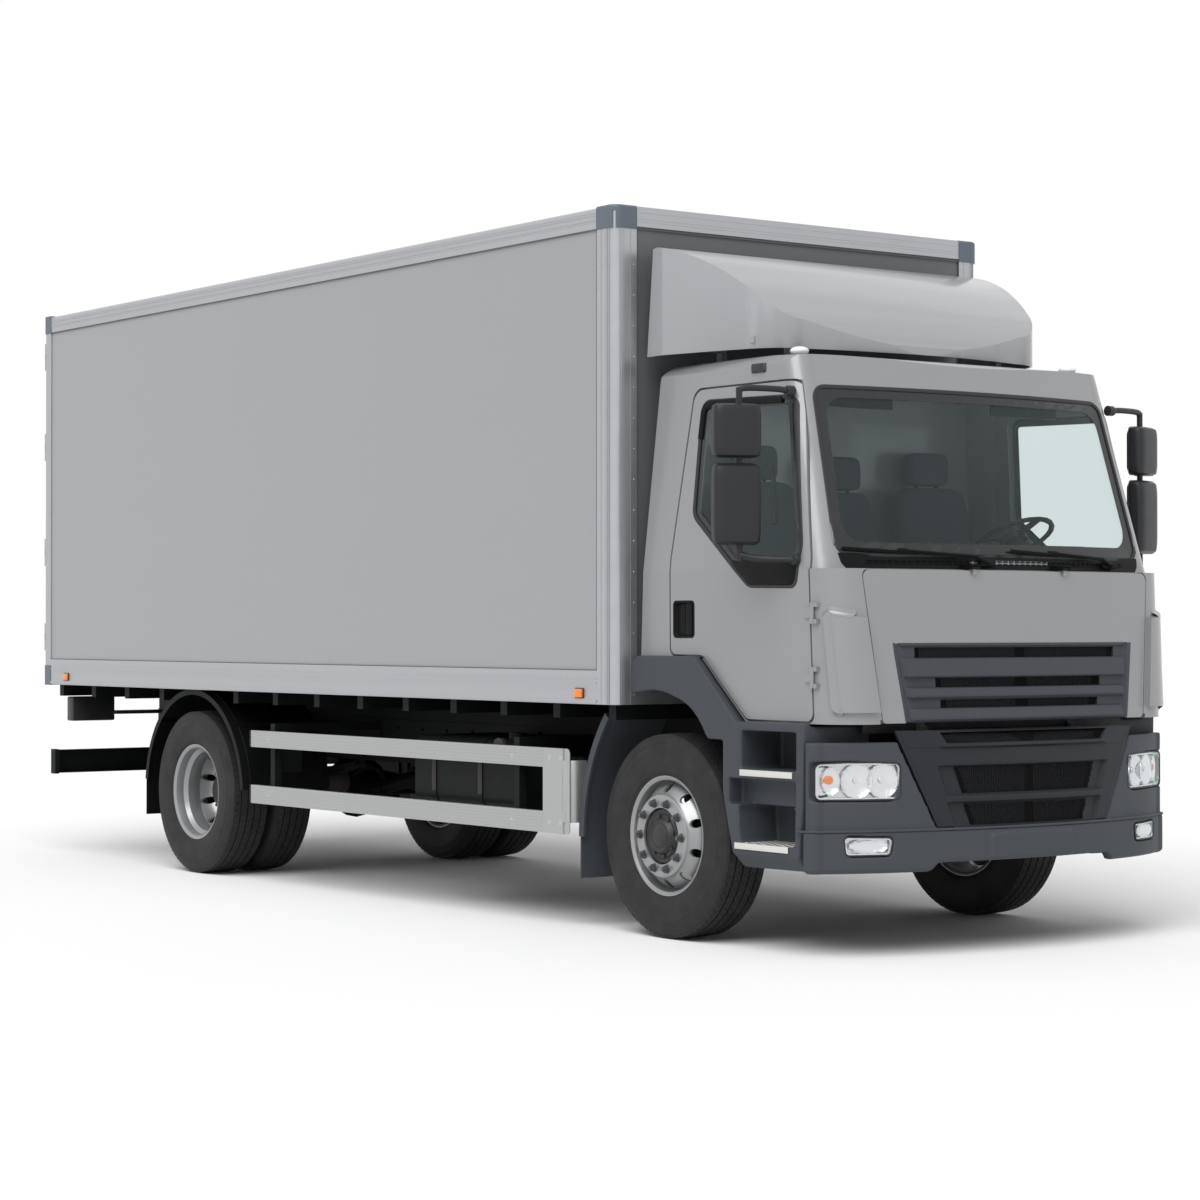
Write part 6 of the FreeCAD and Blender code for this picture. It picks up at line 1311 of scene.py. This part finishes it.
# A plain weave of dark threads, drawn coarse enough to show: soft and without shine.
cloth, tree = new_material("dark woven seat cloth")
place = add(tree, "TexCoord").outputs["Object"]
warp, weft = [add(tree, "TexWave", [("Vector", place)], Scale=THREADS, Distortion=0.4,
                  bands_direction=way).outputs["Fac"] for way in ("Y", "Z")]
weave = add(tree, "Math", [(0, warp), (1, weft)], operation="ADD")
shade = mixed(tree, weave, srgb("#3E4146"), srgb("#484C52"))
bump = add(tree, "Bump", [("Height", weave)], Strength=0.12, Distance=0.3 * MM)
finish_tree(tree, add(tree, "BsdfPrincipled", [("Base Color", shade), ("Normal", bump)],
                      Roughness=0.85, Specular_IOR_Level=0.2))


def pad(bm, centre, half, lean, channels, power=5.0, parts=22):
    """Crowned cushion, blunt at its corners, with sewn channels across its face."""
    bmesh.ops.create_cube(bm, size=2.0)
    bmesh.ops.subdivide_edges(bm, edges=list(bm.edges), cuts=parts, use_grid_fill=True)
    turn = Matrix.Rotation(lean, 3, "Y")
    for v in bm.verts:
        q = v.co / sum(abs(c) ** power for c in v.co) ** (1 / power)
        pull = 1 - 0.03 * (1 - q.y * q.y) * (abs(q.x) > 0.9)
        dip = sum(exp(-((q.y * half[1] - c) / 0.010) ** 2) for c in channels) * (v.co.z > 0.9)
        q = Vector((q.x * half[0] * pull, q.y * half[1], q.z * half[2] - 0.007 * dip))
        v.co = turn @ q + Vector(centre)


bm = bmesh.new()
for name, y, w, low in SEATS:
    x, h = SEAT_X, w / 2
    block(bm, x + 0.150, x + 0.540, y - h + 0.060, y + h - 0.060, 1.290, low + 0.030, 0.012)
    for s in (1, -1):
        rod(bm, (x + 0.060, y + s * 0.070, low + 0.600), (x + 0.054, y + s * 0.070, low + 0.700),
            0.008)
        rod(bm, (x + 0.140, y + s * (h - 0.012), low + 0.090),
            (x + 0.140, y + s * (h - 0.004), low + 0.090), 0.040)
    for part, dx, dz, half, lean, seam in (
            ("cushion", 0.345, 0.078, (0.256, h, 0.074), -3, 0.45),
            ("back", 0.098, 0.355, (0.298, h - 0.015, 0.064), -94.5, 0.42),
            ("headrest", 0.058, 0.742, (0.090, 0.135, 0.046), -92, 0)):
        form = bmesh.new()
        pad(form, (x + dx, y, low + dz), half, radians(lean),
            (h * seam, -h * seam) if seam else ())
        piece(name + "_" + part, form, cloth, "cab", 60)
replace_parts(piece("seat_frames", bm, black_plastic, "cab"), "seats")


# ---- cab interior ----
# Light grey linings of the rear wall and roof, instruments, stalks and vents on the dash, sun
# visors and grab handles behind the glass.

# Needled felt: pale, matt and slightly uneven.
lining = finish("light grey felt lining", "#8B8E90", 0.85, vary=0.05, patch=120, grain=0.4,
                specular=0.2)
# Smooth dark glass with small sharp highlights.
dial = finish("dark instrument glass", "#0D0E10", 0.15, vary=0.02, patch=60)
WHEEL_BOSS = (3.420, 0.640, 1.900)
bm = bmesh.new()
block(bm, 2.548, 2.560, -0.980, 0.980, 1.420, 2.300, 0.008)
block(bm, 2.580, 2.590, -0.900, 0.900, 2.300, 2.700, 0.008)
for y in (-0.500, 0.0, 0.500):
    block(bm, 2.560, 2.568, y - 0.006, y + 0.006, 1.440, 2.280, 0.002)
block(bm, 2.640, 3.500, -0.880, 0.880, 2.800, 2.812, 0.006)
piece("cab_lining", bm, lining, "cab")
bm = bmesh.new()
for y in (-0.560, 0.560):
    block(bm, 3.520, 3.532, y - 0.230, y + 0.230, 2.610, 2.760, 0.006)
for y in (-0.700, -0.250, 0.250, 0.960):
    block(bm, 3.496, 3.512, y - 0.055, y + 0.020, 1.760, 1.815, 0.004)
for z in (1.640 + 0.020 * i for i in range(5)):
    block(bm, 3.492, 3.502, -0.180, 0.180, z, z + 0.010, 0.002)
for end in ((3.430, 0.860, 1.930), (3.430, 0.430, 1.935)):
    rod(bm, WHEEL_BOSS, end, 0.007)
sweep(bm, [(3.330, -0.930, 2.050), (3.345, -0.915, 2.080), (3.300, -0.905, 2.300),
           (3.270, -0.915, 2.330)], 0.012)
piece("dash_details", bm, black_plastic, "cab")
bm = bmesh.new()
block(bm, 3.545, 3.551, 0.460, 0.800, 1.860, 1.930, 0.004)
piece("instrument_glass", bm, dial, "cab")


# ---- load floor ----
# Phenolic-faced plywood boards laid across the body and screwed down over the steel bearers,
# with narrow joints between them.
BOARDS, BOARD_W, FLOOR_X, FLOOR_HALF = 8, 0.805, -4.026, 1.184
# Brown resin film over the ply: a dull shine with dark patches.
floor_wood = finish("phenolic-faced plywood", "#514035", 0.5, vary=0.15, patch=60, grain=0.6)
bm = bmesh.new()
for x in (FLOOR_X + i * BOARD_W for i in range(BOARDS)):
    block(bm, x + 0.002, x + BOARD_W - 0.002, -FLOOR_HALF, FLOOR_HALF, 1.2155, 1.2185, 0.001)
piece("floor_boards", bm, floor_wood, "chassis")


# ---- side guards ----
# Brushed aluminium side rails below the body, extruded with grip grooves, closed by moulded
# end caps and held to their arms by carriage bolts.
GUARD_FACE, GUARD_BACK, GUARD_FRONT = 1.215, -1.310, 1.800
GUARD_BANDS, GUARD_BOLTS_X = ((0.820, 0.920), (0.480, 0.590)), (-1.085, 1.515, 1.860, 1.960)
# Brushed along its length: a long streaky sheen.
guard_metal = finish("brushed guard aluminium", "#ABACAC", 0.38, metallic=0.6, vary=0.05,
                     patch=150, grain=0.3, grain_mm=1.0, stretch=(0.03, 1, 1))
dress(guard_metal, "side_guards")
soften(2.5, "side_guards")
ribs, bolts, caps = bmesh.new(), bmesh.new(), bmesh.new()
for way in (1, -1):
    for z0, z1 in GUARD_BANDS:
        for z in row(z0 + 0.014, z1 - 0.014, 0.018):
            block(ribs, GUARD_BACK + 0.012, GUARD_FRONT, way * GUARD_FACE,
                  way * (GUARD_FACE + 0.0016), z - 0.003, z + 0.003, 0.0006)
        for x in GUARD_BOLTS_X:
            rivet(bolts, (x, way * GUARD_FACE, (z0 + z1) / 2), (0, way, 0), 0.011)
        block(caps, GUARD_BACK - 0.006, GUARD_BACK + 0.012, way * 1.183, way * 1.2165, z0 - 0.001,
              z1 + 0.001, 0.003)
piece("guard_ribs", ribs, guard_metal, "chassis")
piece("guard_bolts", bolts, rivet_steel, "chassis")
piece("guard_caps", caps, black_plastic, "chassis")


# ---- running gear ----
# Bolts of the frame and of the spring brackets, cast brake drums inside the rear wheels with
# the air chambers that work them, and the strap lugs and filler cap of the tank.
RAIL_Y = 0.430
BRACKETS_X = [axle + s * span for axle, span in ((FRONT_X, 0.70), (REAR_X, 0.80)) for s in (1, -1)]
DRUM = ((-0.400, 0.0), (-0.400, 0.150), (-0.385, 0.195), (-0.300, 0.205), (-0.290, 0.212),
        (-0.275, 0.212), (-0.270, 0.0))
CHAMBER = ((-0.075, 0.0), (-0.075, 0.070), (-0.010, 0.085), (0.010, 0.085), (0.075, 0.070),
           (0.085, 0.0))
FILLER = ((-0.004, 0.0), (-0.004, 0.052), (0.018, 0.052), (0.022, 0.046), (0.022, 0.0))
# Bare iron gone brown with rust, rough and without shine.
drum_iron = finish("rusted cast iron", "#2F2A27", 0.7, vary=0.25, patch=40, grain=0.8)
bolts, drums, fittings = bmesh.new(), bmesh.new(), bmesh.new()
for way in (1, -1):
    for x in row(-3.900, 3.800, 0.275):
        for z in (0.770, 0.925):
            rod(bolts, (x, way * RAIL_Y, z), (x, way * (RAIL_Y + 0.011), z), 0.012, 0.011, 6)
    for x in (bracket + dx for bracket in BRACKETS_X for dx in (-0.050, 0.0, 0.050)):
        rod(bolts, (x, way * RAIL_Y, 0.745), (x, way * (RAIL_Y + 0.014), 0.745), 0.013, 0.012, 6)
    lathe(drums, DRUM, REAR_X, way * TWIN_Y, AXLE_Z, way, 48)
    lathe(fittings, CHAMBER, REAR_X + 0.270, way * 0.330, 0.560, way, 32)
for x in (0.600, 1.060):
    block(fittings, x, x + 0.042, -1.1305, -1.1252, 0.640, 0.870, 0.002)
lathe(fittings, FILLER, 1.280, -1.126, 0.900, -1, 32)
piece("frame_bolts", bolts, chassis_paint, "chassis")
piece("brake_drums", drums, drum_iron, "chassis")
piece("tank_fittings", fittings, drum_iron, "chassis")


# ---- rear mudguards ----
# Stiffening beads round the black moulded arches over the rear wheels, moulded with them: one
# at each edge and one between.
MUD_X, MUD_R, MUD_BEADS_Y = -2.060, 0.645, (0.640, 0.900, 1.150)
bm = bmesh.new()
for y in (way * y for way in (1, -1) for y in MUD_BEADS_Y):
    sweep(bm, [(MUD_X + MUD_R * cos(a), y, AXLE_Z + MUD_R * sin(a))
               for a in (radians(8 + 164 * i / 12) for i in range(13))], 0.005, 8)
piece("mudguard_beads", bm, black_plastic, "chassis")


# ---- rear doors ----
# Galvanised lock rods with their keepers, cams, handles and hinge bolts on both leaves, and
# the rubber that closes the gap round each leaf.
LEAF_X, ROD_X, ROD_Y = -4.120, -4.137, 0.420
LEAF_Z0, LEAF_Z1, LEAF_Y0, LEAF_Y1, LIP_W = 1.336, 3.552, 0.005, 1.152, 0.012
KEEPERS_Z = (LEAF_Z0 + 0.060, LEAF_Z0 + 0.760, LEAF_Z0 + 1.400, LEAF_Z1 - 0.070)
HINGES_Z, HINGE_BOLTS_Y = (1.480, 2.060, 2.780, 3.400), (1.030, 1.075, 1.120)
HANDLE = ((0.0075, 0.010), (0.0080, 0.120), (0.0075, 0.245))
HANDLE_Z = 1.659


def on_leaf(bm, way, deep, y0, y1, z0, z1, bevel):
    """Block that stands off the outside of a rear door by deep."""
    block(bm, LEAF_X - deep, LEAF_X, way * y0, way * y1, z0, z1, bevel)


# Hot-dipped steel: light grey with small cloudy patches.
zinc = finish("galvanised steel fitting", "#A7A9AB", 0.42, metallic=0.75, vary=0.12, patch=25,
              grain=0.4)
for side, way in SIDES:
    body = side + "_rear_door"
    bm = bmesh.new()
    rod(bm, (ROD_X, way * ROD_Y, LEAF_Z0 - 0.027), (ROD_X, way * ROD_Y, LEAF_Z1 - 0.009), 0.0125)
    for z in KEEPERS_Z:
        on_leaf(bm, way, 0.0315, ROD_Y - 0.042, ROD_Y + 0.042, z - 0.0195, z + 0.0195, 0.006)
        for dy in (-0.030, 0.030):
            rivet(bm, (LEAF_X - 0.0315, way * (ROD_Y + dy), z), (-1, 0, 0), 0.006)
    for z in (LEAF_Z0 - 0.024, LEAF_Z1 - 0.034):
        block(bm, ROD_X - 0.014, ROD_X + 0.014, way * (ROD_Y - 0.030), way * (ROD_Y + 0.018), z,
              z + 0.022, 0.004)
    for z in HINGES_Z:
        on_leaf(bm, way, 0.0085, 1.003, 1.150, z - 0.0275, z + 0.0275, 0.004)
        for y in HINGE_BOLTS_Y:
            rivet(bm, (LEAF_X - 0.0085, way * y, z), (-1, 0, 0), 0.008)
    piece("lock_rods_" + side, bm, zinc, body)
    bm = bmesh.new()
    sweep(bm, [(ROD_X - back, way * (ROD_Y - along), HANDLE_Z) for back, along in HANDLE], 0.0140)
    on_leaf(bm, way, 0.026, ROD_Y - 0.264, ROD_Y - 0.220, HANDLE_Z - 0.027, HANDLE_Z + 0.027,
            0.005)
    piece("door_handle_" + side, bm, zinc, body)
    bm = bmesh.new()
    for y0, y1, z0, z1 in ((LEAF_Y0, LEAF_Y0 + LIP_W, LEAF_Z0, LEAF_Z1),
                           (LEAF_Y1 - LIP_W, LEAF_Y1, LEAF_Z0, LEAF_Z1),
                           (LEAF_Y0, LEAF_Y1, LEAF_Z0, LEAF_Z0 + LIP_W),
                           (LEAF_Y0, LEAF_Y1, LEAF_Z1 - LIP_W, LEAF_Z1)):
        on_leaf(bm, way, 0.0035, y0, y1, z0, z1, 0.001)
    piece("leaf_seal_" + side, bm, seal_rubber, body)


# ---- tail ----
# Blank plate panel with its two lamps, rubber buffers at the tail, and red reflective tape on
# the painted underrun bar.
PLATE_X, TAPE_X = -4.0255, -4.1700
# Glossy red tape, very slightly mottled.
reflector = finish("red reflective tape", "#98211D", 0.3, vary=0.08, patch=8, coat=0.4)
bm, tape = bmesh.new(), bmesh.new()
block(bm, PLATE_X, PLATE_X + 0.004, -0.270, 0.270, 0.790, 0.915, 0.003)
for way in (1, -1):
    block(bm, -4.034, -4.020, way * 0.170, way * 0.230, 0.918, 0.940, 0.003)
    block(bm, -4.0965, -4.060, way * 0.560, way * 0.640, 1.100, 1.150, 0.008)
    block(tape, TAPE_X, TAPE_X + 0.0020, way * 0.820, way * 1.120, 0.600, 0.650, 0.0004)
piece("tail_fittings", bm, black_plastic, "chassis")
piece("underrun_tape", tape, reflector, "chassis")
